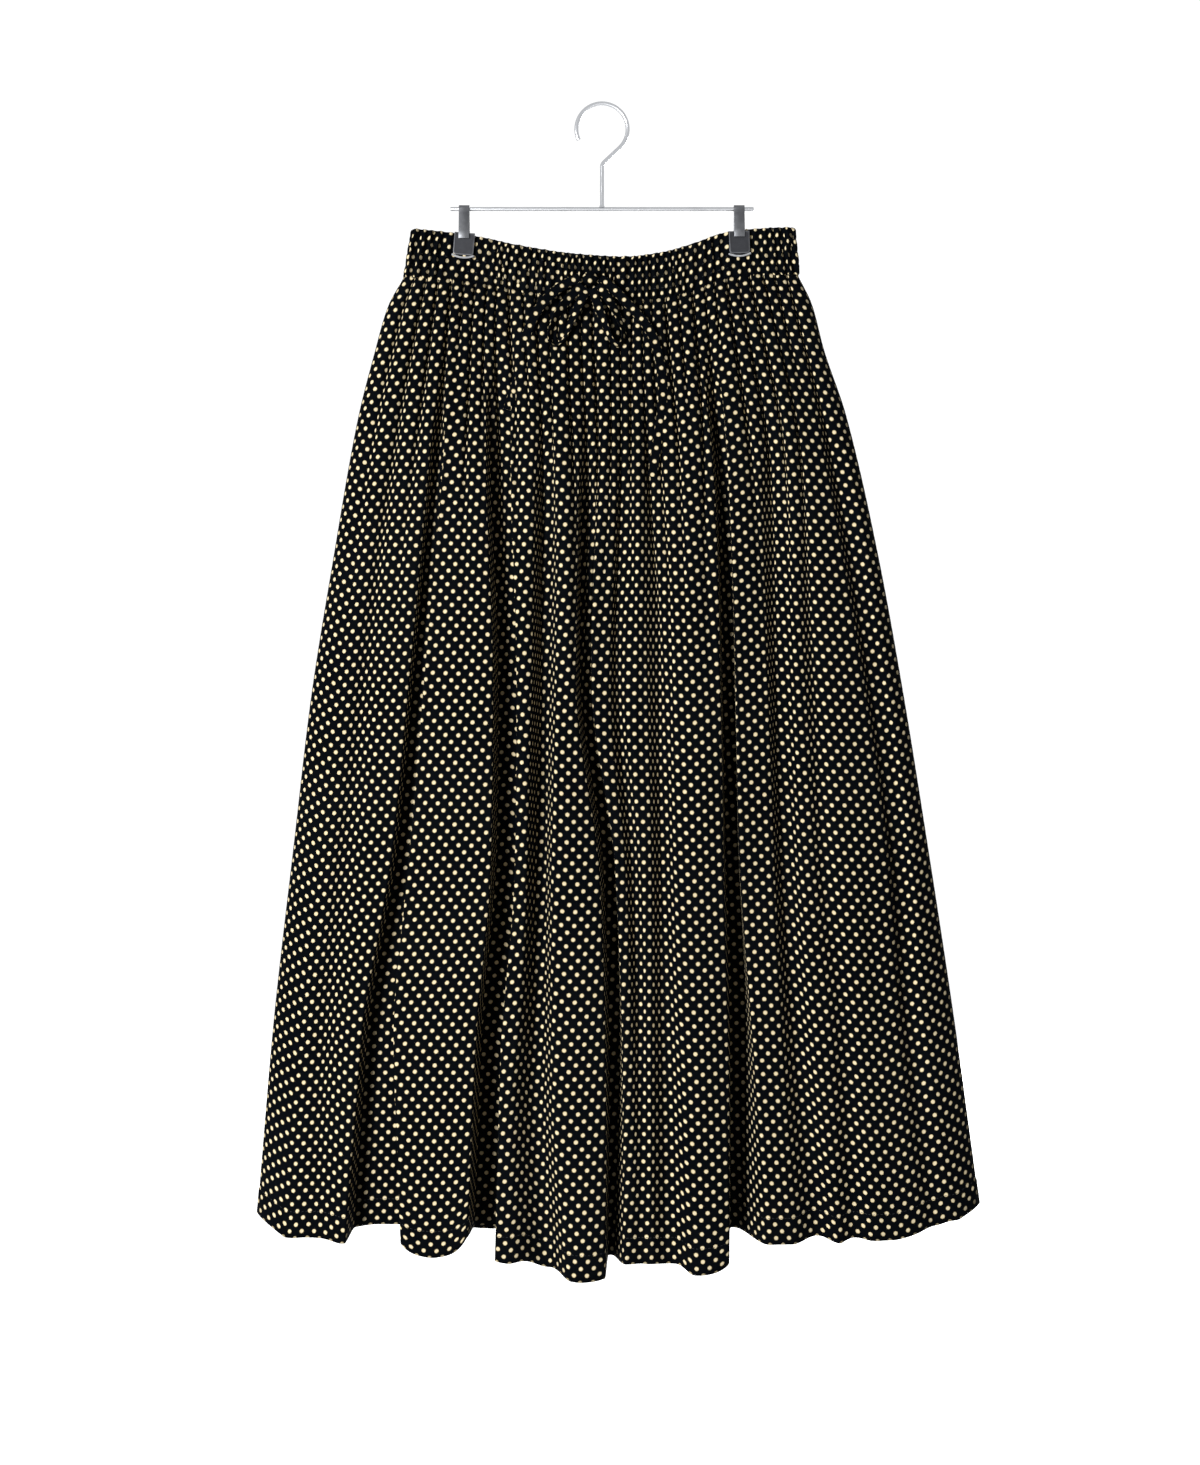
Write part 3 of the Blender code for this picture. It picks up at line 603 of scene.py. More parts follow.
def band_figure(share, field):
    """A figure of the waistband's sections at this share of its height, as the table gives it."""
    return float(smooth(share, column(BAND_LEVELS, "share"), column(BAND_LEVELS, field)))


def squared(wave):
    """A sine or cosine drawn out towards its ends, so that the loop it makes is a flat one."""
    return np.sign(wave) * np.abs(wave) ** BAND_SQUARENESS


def band_loop(share, count):
    """One level of the waistband: points evenly spaced round a flat loop, pinched by the clips."""
    left = band_figure(share, "left")
    right = band_figure(share, "right")
    half = band_figure(share, "half_depth")
    turn = np.arange(LOOP_STEPS) / LOOP_STEPS * 2 * math.pi
    x = (left + right) / 2 - (right - left) / 2 * squared(np.cos(turn))
    y = -half * squared(np.sin(turn))
    held = (CLIP_INSIDE / 2 - BAND_RIPPLE - 1.5 * GAP) / MM
    for clip in CLIPS:
        near = np.exp(-(((x - clip.x) / PINCH_REACH) ** 4))
        y *= 1 - near * band_figure(share, "pinch") * (1 - held / half)
    points = np.stack([x, y], axis=1) * MM
    runs = np.linalg.norm(np.roll(points, -1, axis=0) - points, axis=1)
    length = np.concatenate([[0.0], np.cumsum(runs)])
    at = np.arange(count) / count * length[-1]
    closed = np.concatenate([points, points[:1]])
    return np.interp(at, length, closed[:, 0]), np.interp(at, length, closed[:, 1])


def band_height(x, share):
    """Z at this share of the waistband's height."""
    seam = band_edge(x, "seam")
    return seam + (band_edge(x, "top") - seam) * share


def band_row(share, count, heights):
    """A row round the band, moved outwards by `heights`, and which way out is at each point."""
    x, y = band_loop(share, count)
    out_x, out_y = moved_in(x, y, 1.0, -1, True)
    out = np.stack([out_x - x, out_y - y, np.zeros(count)], axis=1)
    row = np.stack([x, y, band_height(x, share)], axis=1)
    return row + out * np.broadcast_to(heights, count)[:, None], out


def smooth_route(points, spacing):
    """Points at even spacing on a smooth curve through the given ones."""
    given = np.array(points, float) * MM
    ends = np.concatenate([[2 * given[0] - given[1]], given, [2 * given[-1] - given[-2]]])
    fine = []
    for i in range(1, len(ends) - 2):
        before, start, end, after = ends[i - 1 : i + 3]
        for u in np.linspace(0.0, 1.0, 12, endpoint=False):
            fine.append(
                0.5
                * (
                    2 * start
                    + (end - before) * u
                    + (2 * before - 5 * start + 4 * end - after) * u**2
                    + (3 * start - before - 3 * end + after) * u**3
                )
            )
    fine.append(ends[-2])
    fine = np.array(fine)
    length = np.concatenate([[0.0], np.cumsum(np.linalg.norm(np.diff(fine, axis=0), axis=1))])
    count = max(2, round(length[-1] / spacing))
    at = np.linspace(0.0, length[-1], count + 1)
    return [Vector([np.interp(d, length, fine[:, axis]) for axis in range(3)]) for d in at]


def crease_heights(panel, flat_x, share):
    """How far the small ridges stand out, and the small troughs in, at this share of the length."""
    total = np.zeros_like(flat_x)
    for crease in panel.creases:
        along = (share - crease.start) / (crease.end - crease.start)
        if not 0.0 < along < 1.0:
            continue
        line = smooth(along, (0.0, 0.5, 1.0), (crease.top, crease.middle, crease.bottom)) * MM
        fade = math.sin(math.pi * along) ** CREASE_FADE_POWER
        total += crease.height * MM * fade * np.exp(-(((flat_x - line) / (crease.width * MM)) ** 2))
    return total


def unevenness(panel, across, share):
    """A low, slow waviness that no real cloth is without."""
    total = np.zeros_like(across)
    for wave in WAVES:
        turn = wave.across * across + wave.down * share + wave.phase + WAVE_SHIFT * panel.gather_shift
        total += wave.height * MM * np.sin(2 * math.pi * turn)
    return total * smooth(share, WAVE_SHARES, WAVE_HEIGHTS)


def gather_places(across, share):
    """How many gathers lie to the left of each place across; they aren't quite even."""
    slow = np.sin(2 * math.pi * (SLOW_ACROSS * across + SLOW_DOWN * share))
    sway = slow + QUICK_SHARE * np.sin(2 * math.pi * QUICK_ACROSS * across)
    return GATHERS * across + GATHER_SWAY * sway * np.sin(math.pi * across)


def full_crest(count, power, strength):
    """A crest for each whole number of `count`: wider the greater the power, between narrow creases."""
    return (1.0 - strength * np.abs(np.cos(math.pi * count)) ** power) ** CREASE_POWER


def deep_folds(panel, flat_x, lines, share):
    """Where each fold is, how deep and how steep it is there, and how far it lifts the hem's edge."""
    for fold, line in zip(panel.folds, lines):
        to_left = fold_value(share, -1.0, fold.mid_left, fold.hem_left) * MM
        to_right = fold_value(share, -1.0, fold.mid_right, fold.hem_right) * MM
        deep = fold_value(share, fold.start, fold.mid_depth, fold.hem_depth)
        steep = float(smooth(deep, (0.0, STEEP_FROM, STEEP_TO, 1.0), (0.0, 0.0, 1.0, 1.0)))
        walls = []
        for middle, hem in zip(MID_WALLS, fold.walls):
            walls.append(1.0 - steep * (1.0 - fold_value(share, -1.0, middle, hem)))
        near = valley(flat_x - line, (to_left, to_right), walls)
        beyond = np.maximum(0.0, np.abs(flat_x - line) - np.where(flat_x < line, to_left, to_right))
        lift = steep * np.where(flat_x < line, *fold.rounding) * np.exp(-beyond / ROUNDING_REACH)
        yield near, float(deep), steep, lift


def gathers(panel, gathered, share, spacing):
    """How far the gathers stand out, and how far the cloth closes over the creases between them."""
    strengths = crease_strengths(panel, share)
    strength = strengths[np.clip(np.rint(gathered).astype(int), 0, GATHERS)]
    turns = gathered * UNEVEN_EACH + UNEVEN_DOWN * share
    uneven = 1.0 + GATHER_UNEVENNESS * np.sin(2 * math.pi * turns)
    power = smooth(share, CREST_SHARES, CREST_POWERS)
    height = gather_height(share)
    standing = height * uneven * full_crest(gathered, power, CREASE_STRENGTH * strength)
    closing = CREASE_CLOSING * strength * height / GATHER_DEPTH * spacing
    return standing - height * GATHER_SINK / GATHER_DEPTH, closing * np.sin(2 * math.pi * gathered)


def crest_hem_drops(panel, across, crests, flat_x, lines, steeps):
    """The hem's drop from crest to crest: it steps at a deep fold, where the cloth is behind."""
    drops = [panel.first_crest[1]] + column(panel.folds, "crest_drop")
    total = smooth(across, (0.0, crests[0]), (HEM_CORNER_DROPS[0], drops[0]))
    total = total + smooth(across, (crests[-1], 1.0), (0.0, HEM_CORNER_DROPS[1] - drops[-1]))
    for number, (line, steep) in enumerate(zip(lines, steeps)):
        slow = np.clip((across - crests[number]) / (crests[number + 1] - crests[number]), 0.0, 1.0)
        slow = slow * slow * (3 - 2 * slow)
        rise = drops[number + 1] - drops[number]
        total = total + rise * ((1 - steep) * slow + steep * (flat_x > line))
    return total


def section(panel, across, share):
    """The panel's outer face at one share of its length: X, Y and Z, and where spare cloth hides."""
    left = level(share, "left")
    right = level(share, "right")
    marks, crests = fold_marks(panel)
    top_left = level(0.0, "left")
    top_right = level(0.0, "right")
    lines = []
    for fold in panel.folds:
        at_top = (top_left + fold.gather / GATHERS * (top_right - top_left)) / MM
        lines.append(smooth(share, PATH_SHARES, (at_top, *fold.path)) * MM)
    flat_x = smooth(across, marks, [left, *lines, right])
    depth = np.zeros_like(across)
    inside = np.zeros_like(across)
    rim = np.zeros_like(across)
    steeps = []
    hides = []
    for near, deep, steep, lift in deep_folds(panel, flat_x, lines, share):
        depth = np.maximum(depth, near * deep)
        inside = np.maximum(inside, near)
        rim = np.maximum(rim, lift)
        steeps.append(steep)
        hides.append((FOLD_HIDES * deep**2, near))
    crest = smooth(across, crests, [panel.first_crest[0]] + column(panel.folds, "crest"))
    side = 2 * (flat_x - left) / (right - left) - 1
    rounding = np.sqrt(np.clip(1 - side**SIDE_ROUNDNESS, 0.0, 1.0))
    gathered = gather_places(across, share)
    standing, closing = gathers(panel, gathered, share, (right - left) / GATHERS)
    height = level(share, "height") * panel.height_scale * crest * (1 - depth)
    fine = crease_heights(panel, flat_x, share) + unevenness(panel, across, share)
    out = rounding * (level(share, "floor") + height + standing + fine)
    lean = level(share, "lean") * crest * (1 + FLOOR_LEAN * inside)
    x = flat_x + rounding * (lean - closing)
    drops = [HEM_CORNER_DROPS[0]] + column(panel.folds, "drop") + [HEM_CORNER_DROPS[1]]
    crest_drop = crest_hem_drops(panel, across, crests, flat_x, lines, steeps)
    crest_drop = crest_drop - rim * share**ROUNDING_POWER
    drop = (1 - inside) * crest_drop + inside * smooth(across, marks, drops)
    top = band_edge(smooth(across, (0.0, 1.0), (top_left, top_right)), "seam") - GAP
    z = top + share * (WAIST_Z - drop * MM - top)
    return x, panel.out * out, z, hides


def arc_lengths(x, y):
    """Lengths along the curve (x, y), from its first point."""
    return np.concatenate([[0.0], np.cumsum(np.hypot(np.diff(x), np.diff(y)))])


def hiding_shares(panel, across, share, x, y, hides):
    """The length of each step along a row, and how much spare cloth hides there."""
    runs = np.hypot(np.diff(x), np.diff(y))
    gathered = gather_places((across[1:] + across[:-1]) / 2, share)
    nearest = np.clip(np.rint(gathered).astype(int), 0, GATHERS)
    pinched = runs * np.abs(np.cos(math.pi * gathered)) ** PINCH_POWER
    strengths = crease_strengths(panel, share) * gather_height(share) / gather_height(SHORTEST_CREASE)
    hidden = pinched / np.bincount(nearest, pinched, GATHERS + 1)[nearest] * strengths[nearest]
    turned = np.clip(-np.diff(np.abs(y)) / runs, 0.0, 1.0) ** 2
    for amount, near in hides:
        middle = (near[1:] + near[:-1]) / 2
        inner = runs * ((middle > WALLS_BEGIN) * turned + FLOOR_HIDES * middle**FLOOR_POWER)
        hidden += amount * inner / (inner.sum() + 1e-9)
    return runs, hidden


@functools.cache
def cloth_at_hem(number):
    """Where the crests between the folds lie across the flat cloth, at the top edge and at the hem."""
    panel = PANELS[number]
    _, crests = fold_marks(panel)
    edges = np.array([0.0, *crests[1:-1], 1.0])
    across = np.linspace(0.0, 1.0, FINE_STEPS + 1)
    x, y, _, hides = section(panel, across, 1.0)
    runs, hidden = hiding_shares(panel, across, 1.0, x, y, hides)
    spare = CLOTH_WIDTH - runs.sum()
    cloth = np.concatenate([[0.0], np.cumsum(runs + spare * hidden / hidden.sum())])
    return edges, CLOTH_WIDTH * edges, np.interp(edges, across, cloth)


def cloth_across(panel, across, share, x, y, hides):
    """Where each point of a row lies across the flat cloth.

    A gathered row is shorter than the cloth is wide. The rest of the cloth is hidden in the bottoms of
    the creases, and lower down in the folds' walls, so the print keeps its size on the faces that show.
    """
    edges, at_top, at_hem = cloth_at_hem(PANELS.index(panel))
    runs, hidden = hiding_shares(panel, across, share, x, y, hides)
    cell = np.clip(np.searchsorted(edges, (across[1:] + across[:-1]) / 2) - 1, 0, len(edges) - 2)
    spans = np.diff(at_top + (at_hem - at_top) * share)
    spare = (spans - np.bincount(cell, runs)) / np.bincount(cell, hidden)
    return np.concatenate([[0.0], np.cumsum(runs + spare[cell] * hidden)])


def deselect():
    """Leaves edit mode, with nothing selected."""
    if bpy.context.object and bpy.context.object.mode != "OBJECT":
        bpy.ops.object.mode_set(mode="OBJECT")
    bpy.ops.object.select_all(action="DESELECT")


def only(obj):
    """Makes obj the one that operators act on."""
    deselect()
    obj.select_set(True)
    bpy.context.view_layer.objects.active = obj


def strip_mesh(name, points, maps, closed=False, outward=True):
    """A mesh of four-sided faces over rows of points, with its UV maps.

    points is an array of rows, columns and XYZ. Each map is an array of rows, columns and UV, with one
    more column than the points where the rows are closed loops.
    """
    rows, columns = points.shape[:2]
    ids = np.arange(rows * columns).reshape(rows, columns)
    if closed:
        ids = np.concatenate([ids, ids[:, :1]], axis=1)
    corners = [ids[:-1, :-1], ids[1:, :-1], ids[1:, 1:], ids[:-1, 1:]]
    slots = np.arange(rows * ids.shape[1]).reshape(ids.shape)
    uv_corners = [slots[:-1, :-1], slots[1:, :-1], slots[1:, 1:], slots[:-1, 1:]]
    if not outward:
        corners.reverse()
        uv_corners.reverse()
    faces = np.stack(corners, axis=-1).reshape(-1, 4)
    uv_faces = np.stack(uv_corners, axis=-1).reshape(-1)
    mesh = bpy.data.meshes.new(name)
    mesh.from_pydata(points.reshape(-1, 3).tolist(), [], faces.tolist())
    for map_name, values in maps.items():
        layer = mesh.uv_layers.new(name=map_name)
        layer.data.foreach_set("uv", values.reshape(-1, 2)[uv_faces].reshape(-1).astype(np.float32))
    mesh.uv_layers.active = mesh.uv_layers[0]
    mesh.shade_smooth()
    obj = bpy.data.objects.new(name, mesh)
    bpy.context.scene.collection.objects.link(obj)
    return obj


def mended(obj, merged=0.0, closed=False):
    """Merges the points nearer than `merged`, closes open ends and turns the faces outwards."""
    bm = bmesh.new()
    bm.from_mesh(obj.data)
    if merged:
        bmesh.ops.remove_doubles(bm, verts=bm.verts, dist=merged)
    if closed:
        bmesh.ops.holes_fill(bm, edges=bm.edges)
    bmesh.ops.recalc_face_normals(bm, faces=bm.faces)
    bm.to_mesh(obj.data)
    bm.free()
    obj.data.shade_smooth()
    return obj


def apply_modifiers(obj):
    """Makes the wall and the rounded edges part of the mesh."""
    only(obj)
    for modifier in list(obj.modifiers):
        bpy.ops.object.modifier_apply(modifier=modifier.name)


def thicken(obj, wall, offset=-1.0):
    """Gives a sheet its wall, inwards from the face that shows unless the offset says otherwise."""
    solid = obj.modifiers.new("wall", "SOLIDIFY")
    solid.thickness = wall
    solid.offset = offset


def soften(obj, rounding):
    """Rounds the edges that are sharper than the rounding's angle."""
    soft = obj.modifiers.new("edges", "BEVEL")
    soft.width = rounding.width
    soft.segments = rounding.steps
    soft.limit_method = "ANGLE"
    soft.angle_limit = math.radians(rounding.degrees)


def dress(obj, nodes, finish):
    """Puts a finished piece in the place of its solids, with its finish."""
    obj.data.materials.clear()
    obj.data.materials.append(finish)
    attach(obj, "root")
    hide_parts(*nodes)
    return obj


class Value:
    """A shader value that is added, multiplied and compared as a number is."""

    def __init__(self, tree, socket):
        self.tree = tree
        self.socket = socket

    def add(self, kind, settings=None, inputs=None, output=0):
        """Adds a node: its settings first, then values or links for its sockets."""
        node = self.tree.nodes.new(kind)
        for key, setting in (settings or {}).items():
            setattr(node, key, setting)
        for key, given in (inputs or {}).items():
            if isinstance(given, Value):
                self.tree.links.new(given.socket, node.inputs[key])
            else:
                node.inputs[key].default_value = given
        return Value(self.tree, node.outputs[output])

    def math(self, operation, first, second=0.0):
        return self.add("ShaderNodeMath", {"operation": operation}, {0: first, 1: second})

    def __add__(self, other):
        return self.math("ADD", self, other)

    def __radd__(self, other):
        return self.math("ADD", other, self)

    def __sub__(self, other):
        return self.math("SUBTRACT", self, other)

    def __rsub__(self, other):
        return self.math("SUBTRACT", other, self)

    def __mul__(self, other):
        return self.math("MULTIPLY", self, other)

    def __rmul__(self, other):
        return self.math("MULTIPLY", other, self)

    def __truediv__(self, other):
        return self.math("DIVIDE", self, other)

    def __rtruediv__(self, other):
        return self.math("DIVIDE", other, self)

    def __pow__(self, other):
        return self.math("POWER", self, other)

    def least(self, other):
        return self.math("MINIMUM", self, other)

    def sine(self):
        return self.math("SINE", self)

    def fraction(self):
        return self.math("FRACT", self)

    def ramp(self, start, end):
        """0 at start and 1 at end, smooth between and flat beyond."""
        return self.add(
            "ShaderNodeMapRange",
            {"interpolation_type": "SMOOTHSTEP"},
            {"Value": self, "From Min": start, "From Max": end},
        )

    def blend(self, low, high):
        """The colour low where this value is 0, and high where it is 1."""
        return self.add("ShaderNodeMix", {"data_type": "RGBA"}, {"Factor": self, 6: low, 7: high}, 2)

    def noise(self, place, scale, detail=2.0):
        return self.add("ShaderNodeTexNoise", {}, {"Vector": place, "Scale": scale, "Detail": detail})

    def place(self):
        """Where on the piece a point lies."""
        return self.add("ShaderNodeTexCoord", output=3)

    def vector(self, x, y, z=0.0):
        return self.add("ShaderNodeCombineXYZ", {}, {"X": x, "Y": y, "Z": z})

    def parts(self):
        """The X, Y and Z of a vector."""
        node = self.add("ShaderNodeSeparateXYZ", {}, {"Vector": self}).socket.node
        return [Value(self.tree, socket) for socket in node.outputs]

    def bump(self, strength, distance):
        return self.add(
            "ShaderNodeBump", {}, {"Height": self, "Strength": strength, "Distance": distance}
        )


def new_finish(name, constants):
    """A material with the constants set on its shader's own sockets, and a value to build on."""
    made = bpy.data.materials.new(name)
    made.use_nodes = True
    for key, constant in constants.items():
        made.node_tree.nodes["Principled BSDF"].inputs[key].default_value = constant
    return made, Value(made.node_tree, None)


def finished(made, colour, roughness=None, relief=None):
    """Gives the material what varies over its surface."""
    shader = made.node_tree.nodes["Principled BSDF"]
    for key, value in (("Base Color", colour), ("Roughness", roughness), ("Normal", relief)):
        if value is not None:
            value.tree.links.new(value.socket, shader.inputs[key])
    return made


def shared(make, settings):
    """The finish that `make` makes, made once for all the pieces that have it."""
    return bpy.data.materials.get(make.__name__) or make(settings)


def tone(colour, strength=1.0):
    """The colour, darker or lighter, as a shader takes it."""
    return (*[strength * part for part in colour], 1.0)


def dotted_cotton(cloth):
    """Plain-woven cotton, near-black navy, printed with cream dots in staggered rows."""
    made, start = new_finish(
        "dotted_cotton",
        {
            "Specular IOR Level": 0.01,
            "Sheen Weight": 0.002,
            "Sheen Roughness": 0.5,
            "Sheen Tint": (0.55, 0.6, 0.8, 1.0),
        },
    )
    place = start.add("ShaderNodeUVMap", {"uv_map": "cloth"})
    across, down, _ = place.parts()

    # The print: two lattices of dots, the second in the middle of the first one's cells.
    nearest = None
    for shift in (0.0, 0.5):
        x = ((across / cloth.dot_columns + shift).fraction() - 0.5) * cloth.dot_columns
        y = ((down / cloth.dot_rows + shift).fraction() - 0.5) * cloth.dot_rows
        far = (x * x + y * y) ** 0.5
        nearest = far if nearest is None else nearest.least(far)
    radius = cloth.dot_size / 2
    ragged = nearest + (start.noise(place, scale=900.0, detail=1.0) - 0.5) * DOT_RAGGED
    dot = 1.0 - ragged.ramp(radius - DOT_EDGE, radius + DOT_EDGE)
    core = 1.0 - nearest.ramp(radius * 0.45, radius * 0.98)
    centre = 1.0 - nearest.ramp(0.1 * MM, radius * 0.34)

    # Warp and weft, each thread a little thicker or darker than the next.
    weave = (across * (2 * math.pi / THREAD)).sine() * (down * (2 * math.pi / THREAD)).sine()
    slub_across = start.noise(start.vector(across * 2200.0, down * 60.0), scale=1.0)
    slub_down = start.noise(start.vector(across * 60.0, down * 2200.0), scale=1.0)
    thread = (slub_across + slub_down) * 0.5

    ground = thread.ramp(0.3, 0.75).blend(tone(cloth.ground_colour, 0.72), tone(cloth.ground_colour, 1.35))
    worn = start.noise(start.place(), scale=9.0, detail=3.0).ramp(0.35, 0.7)
    ground = worn.blend(ground, tone(cloth.worn_colour))
    rim = tone(cloth.dot_rim_colour)
    ink = core.blend(rim, tone(cloth.dot_colour))
    ink = (centre * 0.35).blend(ink, rim)
    ink = (thread.ramp(0.25, 0.6) * 0.25).blend(ink, rim)
    lift = weave * 0.5 + thread * 0.8 + dot * 0.35
    rough = 0.9 - thread * 0.12 - dot * 0.08
    return finished(made, dot.blend(ground, ink), rough, lift.bump(0.35, 0.12 * MM))


def sewing_thread(cloth):
    """Twisted sewing thread, a shade lighter than the cloth."""
    made, start = new_finish("sewing_thread", {"Specular IOR Level": 0.25, "Sheen Weight": 0.1})
    x, _, z = start.place().parts()
    twist = ((x + z) * (2 * math.pi / (0.7 * MM))).sine() * 0.5 + 0.5
    colour = twist.blend(tone(cloth.ground_colour, 1.5), tone(cloth.ground_colour, 3.2))
    return finished(made, colour, 0.6 + twist * 0.15, twist.bump(0.4, 0.1 * MM))


def wire_steel(hardware):
    """Polished steel wire with fine drawing lines and faint handling marks."""
    made, start = new_finish("wire_steel", {"Metallic": 1.0})
    place = start.place()
    x, y, z = place.parts()
    lines = start.noise(start.vector(x * 40.0, y * 3000.0, z * 400.0), scale=1.0)
    marks = start.noise(place, scale=60.0, detail=3.0)
    dull = marks.ramp(0.45, 0.75)
    colour = dull.blend(tone(hardware.wire_colour), tone(hardware.wire_colour, 0.82))
    rough = 0.16 + dull * 0.14 + lines * 0.08
    return finished(made, colour, rough, (lines + marks * 0.5).bump(0.12, 0.05 * MM))


def clip_nickel(hardware):
    """Dark nickel plate, brushed downwards, with a painted highlight that lightens its edges."""
    made, start = new_finish("clip_nickel", {"Metallic": 0.9, "Specular IOR Level": 0.4})
    place = start.place()
    x, y, z = place.parts()
    brushed = start.noise(start.vector(x * 5200.0, y * 5200.0, z * 90.0), scale=1.0)
    marks = start.noise(place, scale=240.0, detail=3.0)
    # Painted highlight: the sharp edges, found by their pointiness, are painted lighter in patches and made
    # a little glossier.
    edge = start.add("ShaderNodeNewGeometry", output=7).ramp(0.505, 0.56)
    highlit = (edge * (marks * 0.8 + 0.4)).least(1.0)
    base = marks.ramp(0.3, 0.75).blend(tone(hardware.clip_colour, 0.88), tone(hardware.clip_colour))
    colour = (highlit * 0.75).blend(base, tone(hardware.clip_edge_colour))
    return finished(made, colour, 0.38 + brushed * 0.16 - highlit * 0.08, brushed.bump(0.18, 0.05 * MM))


def lip_plastic(hardware):
    """Soft moulded plastic with a fine, slightly dusty grain."""
    made, start = new_finish("lip_plastic", {"Specular IOR Level": 0.35})
    grain = start.noise(start.place(), scale=2600.0)
    dust = start.noise(start.place(), scale=300.0).ramp(0.4, 0.7)
    colour = dust.blend(tone(hardware.lip_colour), tone(hardware.lip_colour, 0.8))
    return finished(made, colour, 0.5 + grain * 0.15, grain.bump(0.2, 0.06 * MM))


def pale_floor(stage):
    """Plain pale floor, a little brighter than the light alone would make it."""
    made, start = new_finish(
        "pale_floor",
        {
            "Roughness": 0.9,
            "Specular IOR Level": 0.0,
            "Emission Color": (1.0, 1.0, 1.0, 1.0),
            "Emission Strength": 0.94,
        },
    )
    uneven = start.noise(start.place(), scale=3.0).ramp(0.35, 0.65)
    return finished(made, uneven.blend(tone(stage.floor_colour, 0.97), tone(stage.floor_colour)))


def white_backdrop(_):
    """A white surround that shows behind the skirt and in its metal, and doesn't light the cloth."""
    made, _ = new_finish(
        "white_backdrop",
        {
            "Base Color": (0.0, 0.0, 0.0, 1.0),
            "Emission Color": (1.0, 1.0, 1.0, 1.0),
            "Emission Strength": 1.0,
        },
    )
    return made


LENGTH = {"unit": "LENGTH", "subtype": "DISTANCE"}
COLOUR = {"min": 0.0, "max": 1.0, "subtype": "COLOR"}


class SkirtCloth(bpy.types.PropertyGroup):
    """Sizes and colours of the cloth."""

    wall: FloatProperty(
        name="Cloth thickness",
        description="Thickness of the cotton",
        default=0.00055,
        min=0.0002,
        max=0.002,
        **LENGTH,
    )
    hem_width: FloatProperty(
        name="Hem width",
        description="Height of the turned-up hem",
        default=0.021,
        min=0.01,
        max=0.05,
        **LENGTH,
    )
    stitch_pitch: FloatProperty(
        name="Stitch length",
        description="Distance from one hem stitch to the next",
        default=0.0034,
        min=0.002,
        max=0.008,
        **LENGTH,
    )
    tie_width: FloatProperty(
        name="Tie width",
        description="Width of the flat drawstring",
        default=0.008,
        min=0.004,
        max=0.012,
        **LENGTH,
    )
    dot_size: FloatProperty(
        name="Dot size",
        description="Diameter of a printed dot",
        default=0.0035,
        min=0.001,
        max=0.009,
        **LENGTH,
    )
    dot_columns: FloatProperty(
        name="Dot spacing across",
        description="Distance between dots that are side by side",
        default=0.0108,
        min=0.004,
        max=0.05,
        **LENGTH,
    )
    dot_rows: FloatProperty(
        name="Dot spacing down",
        description="Distance between dots that are one under the other",
        default=0.0114,
        min=0.004,
        max=0.05,
        **LENGTH,
    )
    ground_colour: FloatVectorProperty(
        name="Ground",
        description="Colour of the cotton between the dots",
        default=(0.0014, 0.0020, 0.0030),
        **COLOUR,
    )
    worn_colour: FloatVectorProperty(
        name="Ground, washed",
        description="Colour of the cotton where washing has paled it a little",
        default=(0.0020, 0.0027, 0.0039),
        **COLOUR,
    )
    dot_colour: FloatVectorProperty(
        name="Dots",
        description="Colour of the printed dots",
        default=(0.80, 0.70, 0.50),
        **COLOUR,
    )
    dot_rim_colour: FloatVectorProperty(
        name="Dot edges",
        description="Colour of the dots' edges and centres",
        default=(0.62, 0.50, 0.27),
        **COLOUR,
    )


class SkirtHanger(bpy.types.PropertyGroup):
    """Sizes and colours of the hanger and its clips."""

    bend: FloatProperty(
        name="Neck bend",
        description="Radius of the bend between the hook and its stem",
        default=0.006,
        min=0.003,
        max=0.01,
        **LENGTH,
    )
    wire_colour: FloatVectorProperty(
        name="Wire",
        description="Colour of the steel wire",
        default=(0.46, 0.47, 0.49),
        **COLOUR,
    )
    clip_colour: FloatVectorProperty(
        name="Clips",
        description="Colour of the clips' dark nickel plate",
        default=(0.030, 0.031, 0.035),
        **COLOUR,
    )
    # Painted highlight: the colour that the clips' sharp edges are painted lighter with.
    clip_edge_colour: FloatVectorProperty(
        name="Clip edges",
        description="Colour of the clips where their edges are rubbed",
        default=(0.16, 0.165, 0.175),
        **COLOUR,
    )
    lip_colour: FloatVectorProperty(
        name="Clip lips",
        description="Colour of the soft edges of the clips",
        default=(0.36, 0.37, 0.39),
        **COLOUR,
    )


class SkirtStage(bpy.types.PropertyGroup):
    """The floor and the light."""

    floor_colour: FloatVectorProperty(
        name="Floor",
        description="Colour of the floor",
        default=(0.93, 0.93, 0.93),
        **COLOUR,
    )
    surroundings: FloatProperty(
        name="Surroundings",
        description="Brightness of the white surroundings",
        default=0.10,
        min=0.0,
        max=5.0,
    )
    key_power: FloatProperty(
        name="Key light",
        description="Power of the soft light from the upper left, in watts",
        default=296.0,
        min=0.0,
        max=1000.0,
    )


def add_lamp(lamp, power):
    """A soft round light that looks at the skirt."""
    data = bpy.data.lights.new(lamp.name, "AREA")
    data.shape = "DISK"
    data.size = LAMP_SIZE
    data.energy = lamp.share * power
    light = bpy.data.objects.new(lamp.name, data)
    light.location = lamp.place
    light.rotation_euler = (Vector(LAMP_AIM) - light.location).to_track_quat("-Z", "Y").to_euler()
    bpy.context.scene.collection.objects.link(light)


